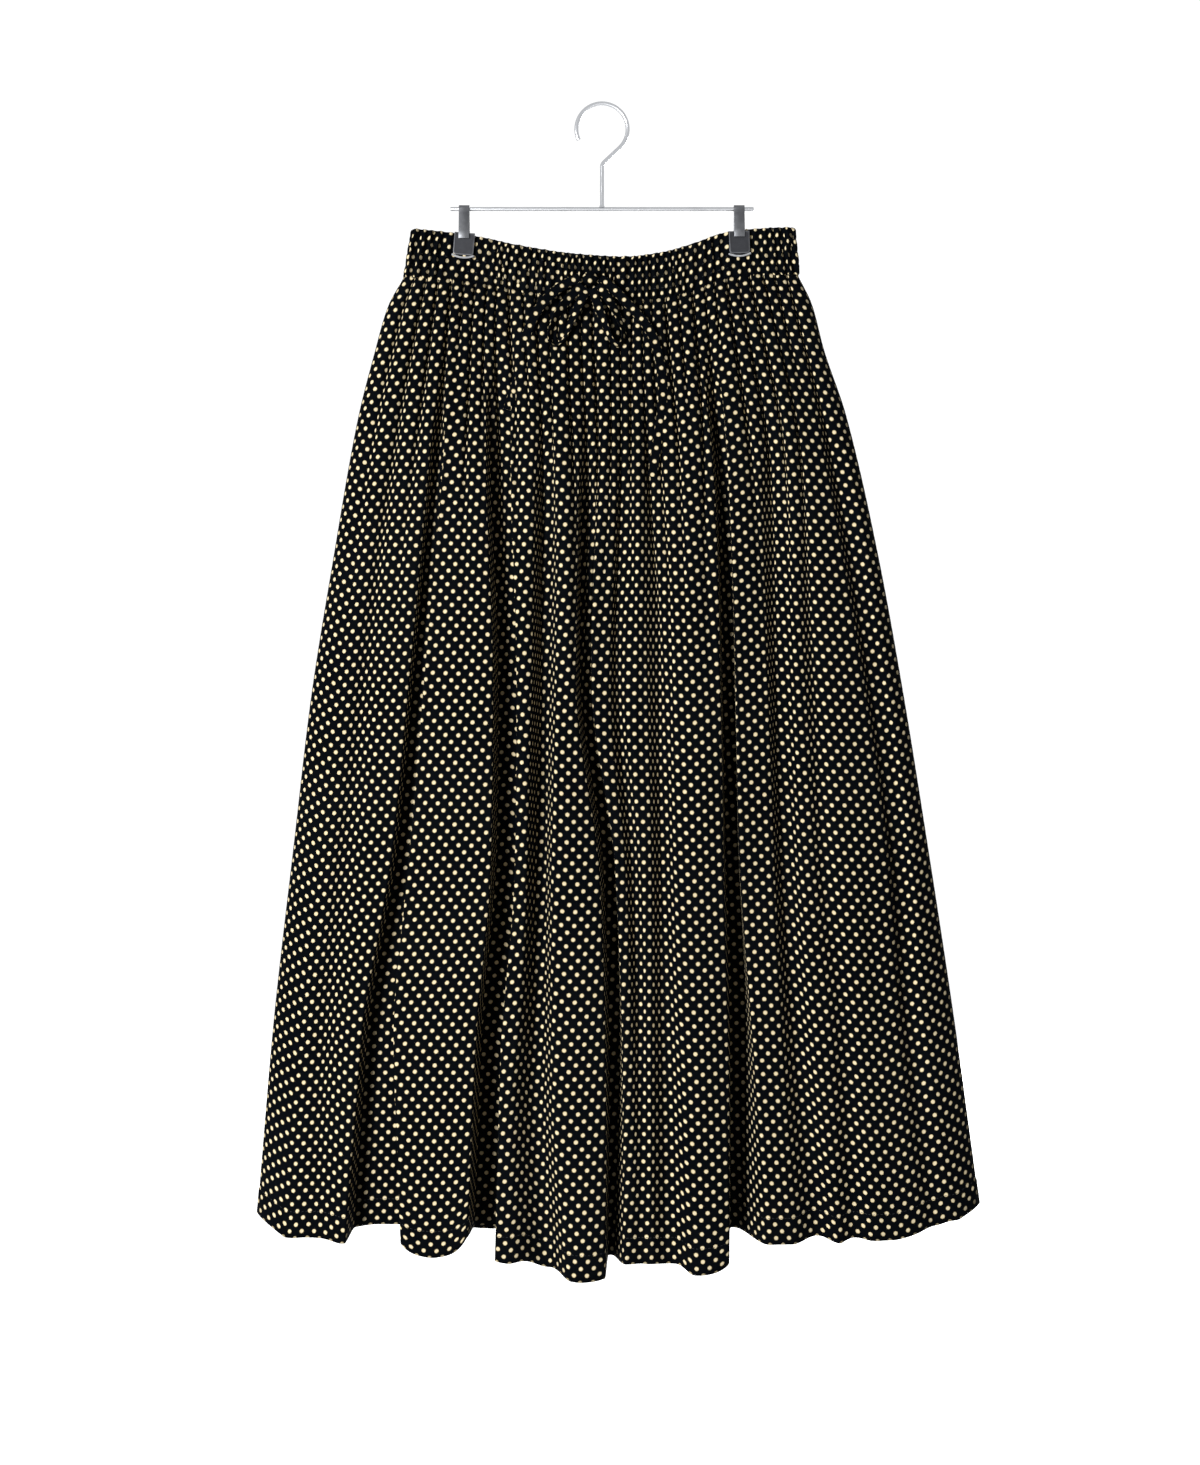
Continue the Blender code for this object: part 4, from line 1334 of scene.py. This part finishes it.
class SKIRT_OT_stage(bpy.types.Operator):
    """Sets the camera, the soft light and the pale floor"""

    bl_idname = "skirt.stage"
    bl_label = "Stage"

    def execute(self, context):
        settings = context.scene.skirt_stage
        data = bpy.data.cameras.new("camera")
        data.lens = CAMERA_LENS
        camera = bpy.data.objects.new("camera", data)
        camera.location = CAMERA_PLACE
        camera.rotation_euler = (math.radians(90), 0, 0)
        context.scene.collection.objects.link(camera)
        context.scene.camera = camera

        for lamp in LAMPS:
            add_lamp(lamp, settings.key_power)
        world = bpy.data.worlds.new("surroundings")
        world.use_nodes = True
        sky = world.node_tree.nodes["Background"]
        sky.inputs["Color"].default_value = (1.0, 1.0, 1.0, 1.0)
        sky.inputs["Strength"].default_value = settings.surroundings
        context.scene.world = world
        context.scene.view_settings.view_transform = "Standard"

        deselect()
        bpy.ops.mesh.primitive_circle_add(
            vertices=96, radius=FLOOR_RADIUS, fill_type="TRIFAN", location=(0, 0, FLOOR_Z)
        )
        floor = context.object
        floor.name = "floor"
        bpy.ops.object.transform_apply(location=True, rotation=True, scale=True)
        floor.data.materials.append(shared(pale_floor, settings))

        deselect()
        bpy.ops.mesh.primitive_ico_sphere_add(subdivisions=4, radius=DOME_RADIUS)
        dome = context.object
        dome.name = "white_dome"
        dome.data.materials.append(shared(white_backdrop, settings))
        for surface in (floor, dome):
            surface.visible_diffuse = False
            surface.visible_shadow = False
        return {"FINISHED"}


def tie_tube(name, route, width, twist):
    """A flat tie of folded cloth along the route, turned on edge by `twist` at its middle."""
    along = np.array(route)
    tangent = np.gradient(along, axis=0)
    tangent /= np.linalg.norm(tangent, axis=1)[:, None]
    flat = np.cross(tangent, np.array([0.0, 1.0, 0.0]))
    flat /= np.linalg.norm(flat, axis=1)[:, None]
    up = np.cross(flat, tangent)
    run = np.concatenate([[0.0], np.cumsum(np.linalg.norm(np.diff(along, axis=0), axis=1))])
    turned = twist * np.sin(math.pi * run / run[-1])[:, None] ** TWIST_POWER
    wide = np.cos(turned) * flat + np.sin(turned) * up
    thick = np.cos(turned) * up - np.sin(turned) * flat
    profile = np.array(TIE_PROFILE) * (width / 2, TIE_THICK / 2)
    closed = np.concatenate([profile, profile[:1]])
    around = TIE_PRINT_START + arc_lengths(*closed.T)
    rings = along[:, None] + wide[:, None] * profile[:, :1] + thick[:, None] * profile[:, 1:]
    maps = np.stack(np.broadcast_arrays(around, run[:, None]), axis=2)
    obj = mended(strip_mesh(name, rings, {"cloth": maps}, closed=True), closed=True)
    obj.data.set_sharp_from_angle(angle=math.radians(TIE_SHARP_DEGREES))
    return obj


class SKIRT_OT_drawstring(bpy.types.Operator):
    """Models the flat tie: two loops, two tails and the knot between them"""

    bl_idname = "skirt.drawstring"
    bl_label = "Drawstring"

    def execute(self, context):
        settings = context.scene.skirt_cloth
        finish = shared(dotted_cotton, settings)
        for name, points in CORD_ROUTES.items():
            route = smooth_route(points, TIE_STEP)
            piece = name.replace("drawstring", "tie")
            looped = "loop" in name
            obj = tie_tube(piece, route, settings.tie_width, LOOP_TWIST if looped else TAIL_TWIST)
            dress(obj, [name], finish)
            path = [tuple(point) for point in route]
            length = sum((a - b).length for a, b in zip(route, route[1:]))
            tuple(path[0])
        dress(build_knot(), ["drawstring_knot"], finish)
        return {"FINISHED"}


def build_knot():
    """The bow's knot: one turn of the tie drawn tight over the other."""
    polar = math.pi * (np.arange(KNOT_ROWS) + KNOT_POLE) / (KNOT_ROWS - 1 + 2 * KNOT_POLE)
    around = 2 * math.pi * np.arange(KNOT_TURNS + 1) / KNOT_TURNS
    polar, around = np.meshgrid(polar, around, indexing="ij")
    x = np.sin(polar) * np.cos(around)
    y = np.sin(polar) * np.sin(around)
    z = np.cos(polar)

    def wrapped(wrap):
        return wrap.height * np.exp(-(((np.abs(x) - wrap.place) / wrap.reach) ** 2))

    # The outer turn stands out in a band round the middle, between two grooves, with slight creases.
    creases = wrapped(KNOT_CREASES) * np.sin(CREASES_DOWN * z + CREASES_ACROSS * x)
    thick = 1.0 + wrapped(OUTER_TURN) + wrapped(KNOT_GROOVES) + creases
    points = np.stack([x * KNOT_WIDER, y * thick, z * thick], axis=2) * KNOT_RADII + KNOT
    maps = np.stack([KNOT_RADII[0] * x, KNOT_RADII[2] * polar], axis=2) * MM
    obj = strip_mesh("tie_knot", points[:, :-1] * MM, {"cloth": maps}, closed=True)
    return mended(obj, 2 * MERGED, closed=True)


def fitted_columns(panel, share):
    """A row's places across, close together where the cloth turns, and where they lie on the cloth."""
    across = (1 - np.cos(math.pi * np.arange(FINE_STEPS + 1) / FINE_STEPS)) / 2
    x, y, _, hides = section(panel, across, share)
    length = arc_lengths(x, y)
    cloth = cloth_across(panel, across, share, x, y, hides)
    count = (1 - CLOTH_PULL) * length / length[-1] + CLOTH_PULL * cloth / cloth[-1]
    columns = np.interp(np.linspace(0.0, 1.0, PER_GATHER * GATHERS + 1), count, across)
    return columns, np.interp(columns, across, cloth)


def panel_rows(panel, hem_width):
    """The panel's rows, from the edge behind the band down to the turned-up edge inside the hem."""
    spans = [np.linspace(start, end, count, endpoint=False) for start, end, count in ROW_SPANS]
    rows = []
    maps = []
    for share in np.concatenate([*spans, HEM_SHARES]):
        across, u = fitted_columns(panel, share)
        x, y, z, _ = section(panel, across, share)
        pucker = HEM_PUCKER * math.exp(-(((share - HEM_STITCH_SHARE) / HEM_PUCKER_REACH) ** 2))
        marks = (HEM_STITCH_SHARE - HEM_RIPPLE_REACH, HEM_STITCH_SHARE, 1.0)
        ripple = HEM_RIPPLE * smooth(share, marks, (0.0, 1.0, HEM_RIPPLE_LEFT))
        ripple = ripple * np.sin(across * CLOTH_WIDTH * 2 * math.pi / HEM_RIPPLE_PITCH)
        fade = np.clip(across * (1 - across) * HEM_RIPPLE_RISE, 0, 1)
        y = y + panel.out * (ripple - pucker) * np.sqrt(fade)
        rows.append(np.stack([x, y, z], axis=1))
        maps.append(np.stack([u, np.full_like(u, share * FREE_LENGTH)], axis=1))

    # Behind the band the gathers are pressed flat.
    top_x, top_y, top_z = rows[0].T
    tucks = []
    for tuck in TUCKS:
        pressed = np.minimum(1.0, np.abs(top_y) / TUCK_DEPTH) * (panel.out * TUCK_DEPTH - top_y)
        tucks.append(np.stack([top_x, top_y + tuck.pressed * pressed, top_z + tuck.rise * MM], axis=1))
    up = [maps[0] - (0, tuck.cloth * MM) for tuck in TUCKS]

    # The hem turns up inside, behind the face that shows.
    turns = []
    on = []
    for share, wall, cloth in HEM_TURNS:
        x, y, z, _ = section(panel, across, share)
        in_x, in_y = moved_in(x, y, wall * MM, -panel.out, False)
        fade = np.clip(across * (1 - across) * TURN_RISE, 0, 1)
        turns.append(np.stack([x + (in_x - x) * fade, y + (in_y - y) * fade, z], axis=1))
        on.append(maps[-1] + (0, hem_width if cloth is None else cloth * MM))
    return np.array(tucks + rows + turns), np.array(up + maps + on)


def with_bake_map(maps):
    """The maps, and one that fills the square from 0 to 1 for baking."""
    low = maps.reshape(-1, 2).min(0)
    high = maps.reshape(-1, 2).max(0)
    square = BAKE_MARGIN + (1 - 2 * BAKE_MARGIN) * (maps - low) / (high - low)
    return {"cloth": maps, "OFBake": square}


def stitch_dashes(name, places, tangents, outs, length):
    """Small sewn dashes, each sunk into the cloth at its ends, as one mesh."""
    verts = []
    faces = []
    for place, along, out in zip(places, tangents, outs):
        side = np.cross(along, out)
        first = len(verts)
        sunk = out * STITCH_THICK * STITCH_SINK
        verts.append(place - along * length / 2 - sunk)
        for way in (-1, 1):
            for a, b in ((1, 0), (0, 1), (-1, 0), (0, -1)):
                round_it = (side * a + out * b) * STITCH_THICK / 2
                verts.append(place + way * along * length * STITCH_MIDDLE + round_it)
        verts.append(place + along * length / 2 - sunk)
        for k in range(4):
            near, far = first + 1 + k, first + 1 + (k + 1) % 4
            faces += [(first, near, far), (near, near + 4, far + 4, far), (near + 4, first + 9, far + 4)]
    mesh = bpy.data.meshes.new(name)
    mesh.from_pydata([tuple(v) for v in verts], [], faces)
    obj = bpy.data.objects.new(name, mesh)
    bpy.context.scene.collection.objects.link(obj)
    return mended(obj)


def hem_stitches(panel, pitch):
    """The hem's stitch line, on the face that shows."""
    across = np.linspace(STITCHES_FROM, 1 - STITCHES_FROM, STITCH_STEPS)
    x, y, z, _ = section(panel, across, HEM_STITCH_SHARE)
    length = arc_lengths(x, y)
    count = int(length[-1] / pitch)
    at = (np.arange(count) + 0.5) * pitch
    points = np.stack([np.interp(at, length, axis) for axis in (x, y, z)], axis=1)
    ahead = np.stack([np.interp(at + STITCH_AHEAD, length, axis) for axis in (x, y, z)], axis=1)
    tangents = ahead - points
    tangents /= np.linalg.norm(tangents, axis=1)[:, None]
    outs = panel.out * np.stack([-tangents[:, 1], tangents[:, 0], np.zeros(count)], axis=1)
    outs /= np.linalg.norm(outs, axis=1)[:, None]
    name = panel.name.replace("panel", "hem_stitches")
    return stitch_dashes(name, points, tangents, outs, STITCH_SHARE * pitch)


class SKIRT_OT_panels(bpy.types.Operator):
    """Models the two gathered panels of the skirt, with their hems"""

    bl_idname = "skirt.panels"
    bl_label = "Panels"

    def execute(self, context):
        settings = context.scene.skirt_cloth
        for panel in PANELS:
            points, maps = panel_rows(panel, settings.hem_width)
            obj = strip_mesh(panel.name, points, with_bake_map(maps), outward=panel.out < 0)
            thicken(obj, settings.wall)
            apply_modifiers(obj)
            dress(obj, [panel.node], shared(dotted_cotton, settings))
            stitches = hem_stitches(panel, settings.stitch_pitch)
            dress(stitches, [], shared(sewing_thread, settings))
        return {"FINISHED"}


def ripple_heights(count, share):
    """How far the band's ripples stand out round it at one level, less under the clips' plates."""
    x, _ = band_loop(share, count)
    depth = np.full(count, RIPPLE_DEPTH)
    for clip in CLIPS:
        depth *= 1 - PRESSED * np.exp(-(((x / MM - clip.x) / PINCH_REACH) ** 4))
    at = np.arange(count) / count * BAND_RIPPLES
    number = np.floor(at).astype(int)
    tall = RIPPLE_LEAST + RIPPLE_SPREAD * np.mod(number * GOLDEN + RIPPLE_START, 1.0)
    lean = RIPPLE_JITTER * np.sin(2 * math.pi * (number * JITTER_ROUND + JITTER_UP * share))
    turn = 2 * math.pi * np.arange(count) / count
    for sway in SWAYS:
        lean = lean + sway.reach * np.sin(sway.round * turn + sway.up * share)
    drawn = 1.0
    for row in ELASTIC_ROWS:
        drawn -= ROW_DRAWS * math.exp(-(((share - row) / ROW_REACH) ** 2))
    rim = float(smooth(share, RIM_SHARES, RIM_HEIGHTS))
    crest = 1 - np.abs(np.cos(math.pi * (at + lean))) ** RIPPLE_POWER
    return BAND_RIPPLE - depth * (1 - drawn * rim * tall * crest)


def band_rows():
    """Closed rows of the band, up its rippled face and down its plain inside, and their places on it."""
    count = BAND_DETAIL * BAND_RIPPLES
    rows = []
    heights = []
    for share in BAND_SHARES:
        raised = ripple_heights(count, share)
        edges = math.exp(-share / BAND_EDGE_REACH) + math.exp(-(1 - share) / BAND_EDGE_REACH)
        row, _ = band_row(share, count, raised - BAND_EDGE_ROUND * edges)
        edge = share**SCALLOP_POWER - (1 - share) ** SCALLOP_POWER
        row[:, 2] += raised / BAND_RIPPLE * BAND_SCALLOP * edge
        rows.append(row)
        heights.append(share)
    for share, wall in BAND_INSIDE:
        inner = np.minimum(-wall * MM, ripple_heights(count, share) - BAND_LEAST_WALL)
        rows.append(band_row(share, count, inner)[0])
        heights.append(2 + BAND_EDGE_CLOTH - share)
    return np.array([*rows, rows[0]]), np.array([*heights, 2 + 2 * BAND_EDGE_CLOTH])


class SKIRT_OT_waistband(bpy.types.Operator):
    """Models the shirred waistband and the stitches that hold its elastic"""

    bl_idname = "skirt.waistband"
    bl_label = "Waistband"

    def execute(self, context):
        settings = context.scene.skirt_cloth
        points, heights = band_rows()
        printed = points[PRINT_ROW]
        run = arc_lengths(*np.concatenate([printed, printed[:1]])[:, :2].T)
        maps = np.stack(np.broadcast_arrays(run / run[-1] * BAND_CUT, -heights[:, None] * BAND_HIGH), axis=2)
        obj = strip_mesh("shirred_band", points, {"cloth": maps}, closed=True, outward=False)
        dress(mended(obj, MERGED), ["waistband"], shared(dotted_cotton, settings))
        stitches = band_stitches()
        dress(stitches, [], shared(sewing_thread, settings))
        return {"FINISHED"}


def band_stitches():
    """Rows of stitches through the elastic, one on each ripple."""
    count = BAND_DETAIL * BAND_RIPPLES
    crests = np.arange(BAND_DETAIL // 2, count, BAND_DETAIL)
    places = []
    tangents = []
    outs = []
    for share in ELASTIC_ROWS:
        row, out = band_row(share, count, ripple_heights(count, share))
        along = row[(crests + 1) % count] - row[crests - 1]
        places.append(row[crests])
        tangents.append(along / np.linalg.norm(along, axis=1)[:, None])
        outs.append(out[crests] / np.linalg.norm(out[crests], axis=1)[:, None])
    lines = [np.concatenate(part) for part in (places, tangents, outs)]
    return stitch_dashes("band_stitches", *lines, BAND_STITCH)


def in_edit_mode(obj):
    """Opens obj's mesh for the operators that shape it."""
    only(obj)
    bpy.ops.object.mode_set(mode="EDIT")
    bpy.ops.mesh.select_mode(type="VERT")


def select_where(obj, test, kind="VERT"):
    """Selects the vertices, edges or faces for which test is true, in edit mode."""
    bpy.ops.mesh.select_mode(type=kind)
    bpy.ops.mesh.select_all(action="DESELECT")
    bm = bmesh.from_edit_mesh(obj.data)
    items = {"VERT": bm.verts, "EDGE": bm.edges, "FACE": bm.faces}[kind]
    for item in items:
        if test(item):
            item.select_set(True)
    bm.select_flush_mode()
    bmesh.update_edit_mesh(obj.data)


def apply_place(obj):
    """Moves a primitive's place, turn and scale into its mesh."""
    only(obj)
    bpy.ops.object.transform_apply(location=True, rotation=True, scale=True)


def smooth_by_angle(obj, degrees):
    """Shades obj smooth, except at the edges that are sharper than this."""
    only(obj)
    bpy.ops.object.shade_smooth_by_angle(angle=math.radians(degrees))


def recalculated(obj):
    """Merges what the spins doubled, and turns the faces outwards."""
    in_edit_mode(obj)
    bpy.ops.mesh.select_all(action="SELECT")
    bpy.ops.mesh.remove_doubles(threshold=MERGED)
    bpy.ops.mesh.normals_make_consistent(inside=False)
    bpy.ops.object.mode_set(mode="OBJECT")


def extrude(step):
    """Draws what is selected out by this much."""
    bpy.ops.mesh.extrude_region_move(TRANSFORM_OT_translate={"value": step})


class SKIRT_OT_hanger(bpy.types.Operator):
    """Models the hanger's hook, stem and bar"""

    bl_idname = "skirt.hanger"
    bl_label = "Hanger"

    def execute(self, context):
        settings = context.scene.skirt_hanger
        radius = HOOK_INSIDE / 2 + WIRE / 2
        centre = (0.0, 0.0, -HOOK_INSIDE / 2)
        tip = math.radians(HOOK_TIP_DEGREES)
        deselect()
        bpy.ops.mesh.primitive_circle_add(
            vertices=24,
            radius=WIRE / 2,
            fill_type="NGON",
            location=(radius * math.cos(tip), 0, centre[2] + radius * math.sin(tip)),
            rotation=(0, -tip, 0),
        )
        wire = context.object
        apply_place(wire)
        in_edit_mode(wire)

        # The hook is spun from its tip to its neck, and goes on straight, round the bend and down.
        bpy.ops.mesh.select_all(action="SELECT")
        turn = math.radians(NECK_DEGREES)
        bpy.ops.mesh.spin(steps=40, angle=turn - tip, center=centre, axis=(0, 1, 0))
        heading = Vector((math.sin(turn), 0, -math.cos(turn)))
        bend = settings.bend
        foot = Vector((radius * math.cos(turn), 0, centre[2] + radius * math.sin(turn)))
        left = Vector((-heading.z, 0, heading.x))
        angle = math.acos(-heading.z)
        run = (foot.x - bend * (1 - math.cos(angle))) / -heading.x
        extrude(heading * run)
        foot += heading * run
        pivot = foot + left * bend
        bpy.ops.mesh.spin(steps=8, angle=angle, center=pivot, axis=(0, 1, 0))
        for down, grow in ((pivot.z - BAR_Z - WIRE / 2 - WELD_HIGH, 1.0), *WELD_RINGS):
            extrude((0, 0, -down))
            bpy.ops.transform.resize(value=(grow, grow, 1.0), center_override=self.ring_centre(wire))
        bpy.ops.object.mode_set(mode="OBJECT")

        deselect()
        bpy.ops.mesh.primitive_cylinder_add(
            vertices=24,
            radius=WIRE / 2,
            depth=2 * BAR_HALF,
            location=(0, 0, BAR_Z),
            rotation=(0, math.radians(90), 0),
        )
        bar = context.object
        apply_place(bar)
        in_edit_mode(bar)
        select_where(bar, lambda edge: abs(edge.verts[0].co.x - edge.verts[1].co.x) < SAME_PLACE, "EDGE")
        bpy.ops.mesh.bevel(offset=BAR_ROUNDING.width, segments=BAR_ROUNDING.steps, affect="EDGES")
        bpy.ops.object.mode_set(mode="OBJECT")

        only(wire)
        bar.select_set(True)
        bpy.ops.object.join()
        wire.name = "hook_and_bar"
        recalculated(wire)
        smooth_by_angle(wire, SMOOTH_DEGREES)
        dress(wire, ["hanger_wire"], shared(wire_steel, settings))
        return {"FINISHED"}

    def ring_centre(self, obj):
        """The middle of the points that are selected."""
        bm = bmesh.from_edit_mesh(obj.data)
        chosen = [vert.co for vert in bm.verts if vert.select]
        return sum(chosen, Vector()) / len(chosen)


def plate_piece(clip, out):
    """One plate of a clip: pressed, with raised sides and round lower corners."""
    top = clip.top * MM
    deselect()
    bpy.ops.mesh.primitive_cube_add(
        size=1.0,
        location=(clip.x * MM, out * (CLIP_INSIDE + CLIP_PLATE) / 2, top - CLIP_HEIGHT / 2),
        scale=(CLIP_WIDTH, CLIP_PLATE, CLIP_HEIGHT),
    )
    plate = bpy.context.object
    apply_place(plate)
    in_edit_mode(plate)
    low = top - CLIP_HEIGHT / 2
    select_where(
        plate,
        lambda edge: all(v.co.z < low for v in edge.verts)
        and abs(edge.verts[0].co.y - edge.verts[1].co.y) > CLIP_PLATE / 2,
        "EDGE",
    )
    bpy.ops.mesh.bevel(offset=CLIP_CORNER, segments=6, affect="EDGES")
    bpy.ops.mesh.select_mode(type="FACE")
    select_where(plate, lambda face: face.normal.y * out > FACING, "FACE")
    bpy.ops.mesh.inset(thickness=PRESSED_RIM, depth=0.0)
    bpy.ops.mesh.inset(thickness=PRESSED_SLOPE, depth=-PRESSED_DEPTH)
    bpy.ops.object.mode_set(mode="OBJECT")
    soften(plate, PLATE_ROUNDING)
    apply_modifiers(plate)
    return plate


def turned(obj, clip):
    """Turns a clip's piece as the clip hangs."""
    pivot = Vector((clip.x * MM, 0, clip.top * MM - CLIP_HEIGHT / 2))
    turn = Matrix.Rotation(math.radians(-clip.turn), 4, "Y")
    obj.data.transform(Matrix.Translation(pivot) @ turn @ Matrix.Translation(-pivot))
    return obj


def yoke_piece(clip):
    """The strip bent over the bar, which carries the clip's two plates."""
    plate_face = CLIP_INSIDE / 2 + CLIP_PLATE + GAP
    over_bar = WIRE / 2 + GAP
    top = clip.top * MM
    line = [(-plate_face, top - YOKE_FOOT), (-plate_face, top + YOKE_KNEE), (-over_bar, BAR_Z - YOKE_NECK)]
    for degrees in range(180, -1, -YOKE_STEP_DEGREES):
        turn = math.radians(degrees)
        line.append((over_bar * math.cos(turn), BAR_Z + over_bar * math.sin(turn)))
    line += [(over_bar, BAR_Z - YOKE_NECK), (plate_face, top + YOKE_KNEE), (plate_face, top - YOKE_FOOT)]
    deselect()
    bpy.ops.mesh.primitive_plane_add(size=1.0, location=(clip.x * MM, line[0][0], line[0][1]))
    yoke = bpy.context.object
    bpy.ops.object.transform_apply(location=True, rotation=False, scale=False)
    in_edit_mode(yoke)
    bm = bmesh.from_edit_mesh(yoke.data)
    sides = sorted(bm.verts, key=lambda vert: (vert.co.y, vert.co.x))
    for vert, x in zip(sides[:2], (-0.5, 0.5)):
        vert.co = (clip.x * MM + x * YOKE_WIDTH, *line[0])
    for vert, x in zip(sides[2:], (-0.5, 0.5)):
        vert.co = (clip.x * MM + x * YOKE_WIDTH, *line[1])
    bmesh.update_edit_mesh(yoke.data)
    for before, after in zip(line[1:], line[2:]):
        select_where(
            yoke,
            lambda edge, at=before: all(
                abs(v.co.y - at[0]) < SAME_PLACE and abs(v.co.z - at[1]) < SAME_PLACE
                for v in edge.verts
            ),
            "EDGE",
        )
        extrude((0, after[0] - before[0], after[1] - before[1]))
    bpy.ops.mesh.select_all(action="SELECT")
    bpy.ops.mesh.normals_make_consistent(inside=False)
    bpy.ops.object.mode_set(mode="OBJECT")
    outward = sum((f.normal.z for f in yoke.data.polygons if f.center.z > BAR_Z), 0.0) > 0
    thicken(yoke, YOKE_THICK, 1.0 if outward else -1.0)
    soften(yoke, YOKE_ROUNDING)
    apply_modifiers(yoke)
    return yoke


def lip_piece(clip):
    """The soft edge under the front plate, a round bead bent down at its middle."""
    half = CLIP_WIDTH / 2 + LIP_PROUD
    bow = (half**2 + LIP_DROP**2) / (2 * LIP_DROP)
    reach = math.asin(half / bow)
    bottom = clip.top * MM - CLIP_HEIGHT
    y = -(CLIP_INSIDE / 2 + LIP_THICK / 2)
    centre = Vector((clip.x * MM, y, bottom - LIP_DROP + bow))
    start = centre + Vector((-bow * math.sin(reach), 0, -bow * math.cos(reach)))
    deselect()
    bpy.ops.mesh.primitive_circle_add(
        vertices=16,
        radius=LIP_THICK / 2,
        fill_type="NGON",
        location=start,
        rotation=(0, math.radians(90) + reach, 0),
    )
    lip = bpy.context.object
    apply_place(lip)
    in_edit_mode(lip)
    bpy.ops.mesh.select_all(action="SELECT")
    bpy.ops.mesh.spin(steps=16, angle=2 * reach, center=centre, axis=(0, 1, 0))
    bpy.ops.object.mode_set(mode="OBJECT")
    recalculated(lip)
    soften(lip, LIP_ROUNDING)
    apply_modifiers(lip)
    return lip


class SKIRT_OT_clips(bpy.types.Operator):
    """Models the two clips that hold the waistband"""

    bl_idname = "skirt.clips"
    bl_label = "Clips"

    def execute(self, context):
        settings = context.scene.skirt_hanger
        nickel = shared(clip_nickel, settings)
        plastic = shared(lip_plastic, settings)
        for clip in CLIPS:
            made = [
                ("front", turned(plate_piece(clip, -1), clip), nickel),
                ("back", turned(plate_piece(clip, 1), clip), nickel),
                ("yoke", yoke_piece(clip), nickel),
                ("lip", turned(lip_piece(clip), clip), plastic),
            ]
            for part, piece, finish in made:
                piece.name = f"{clip.side}_clip_{part}"
                smooth_by_angle(piece, LIP_SMOOTH_DEGREES if part == "lip" else SMOOTH_DEGREES)
                slot = "lip" if part == "lip" else "clip"
                dress(piece, [f"clip_{clip.side}_{part}"], finish)
        return {"FINISHED"}


OPERATORS = (
    SKIRT_OT_stage,
    SKIRT_OT_drawstring,
    SKIRT_OT_panels,
    SKIRT_OT_waistband,
    SKIRT_OT_hanger,
    SKIRT_OT_clips,
)


class SKIRT_PT_sidebar(bpy.types.Panel):
    """Lists the skirt's pieces and the sizes and colours they are made with"""

    bl_idname = "SKIRT_PT_sidebar"
    bl_label = "Gathered skirt"
    bl_space_type = "VIEW_3D"
    bl_region_type = "UI"
    bl_category = "Skirt"

    def draw(self, context):
        for operator in OPERATORS:
            self.layout.operator(operator.bl_idname)
        for group in (context.scene.skirt_cloth, context.scene.skirt_hanger, context.scene.skirt_stage):
            box = self.layout.box()
            for name in group.__annotations__:
                box.prop(group, name)


GROUPS = {"skirt_cloth": SkirtCloth, "skirt_hanger": SkirtHanger, "skirt_stage": SkirtStage}


def register():
    for name, group in GROUPS.items():
        bpy.utils.register_class(group)
        setattr(bpy.types.Scene, name, PointerProperty(type=group))
    for operator in OPERATORS:
        bpy.utils.register_class(operator)
    bpy.utils.register_class(SKIRT_PT_sidebar)


def unregister():
    bpy.utils.unregister_class(SKIRT_PT_sidebar)
    for operator in reversed(OPERATORS):
        bpy.utils.unregister_class(operator)
    for name, group in GROUPS.items():
        delattr(bpy.types.Scene, name)
        bpy.utils.unregister_class(group)


def main():
    register()
    for operator in OPERATORS:
        group, name = operator.bl_idname.split(".")
        getattr(getattr(bpy.ops, group), name)()


if __name__ == "__main__":
    main()
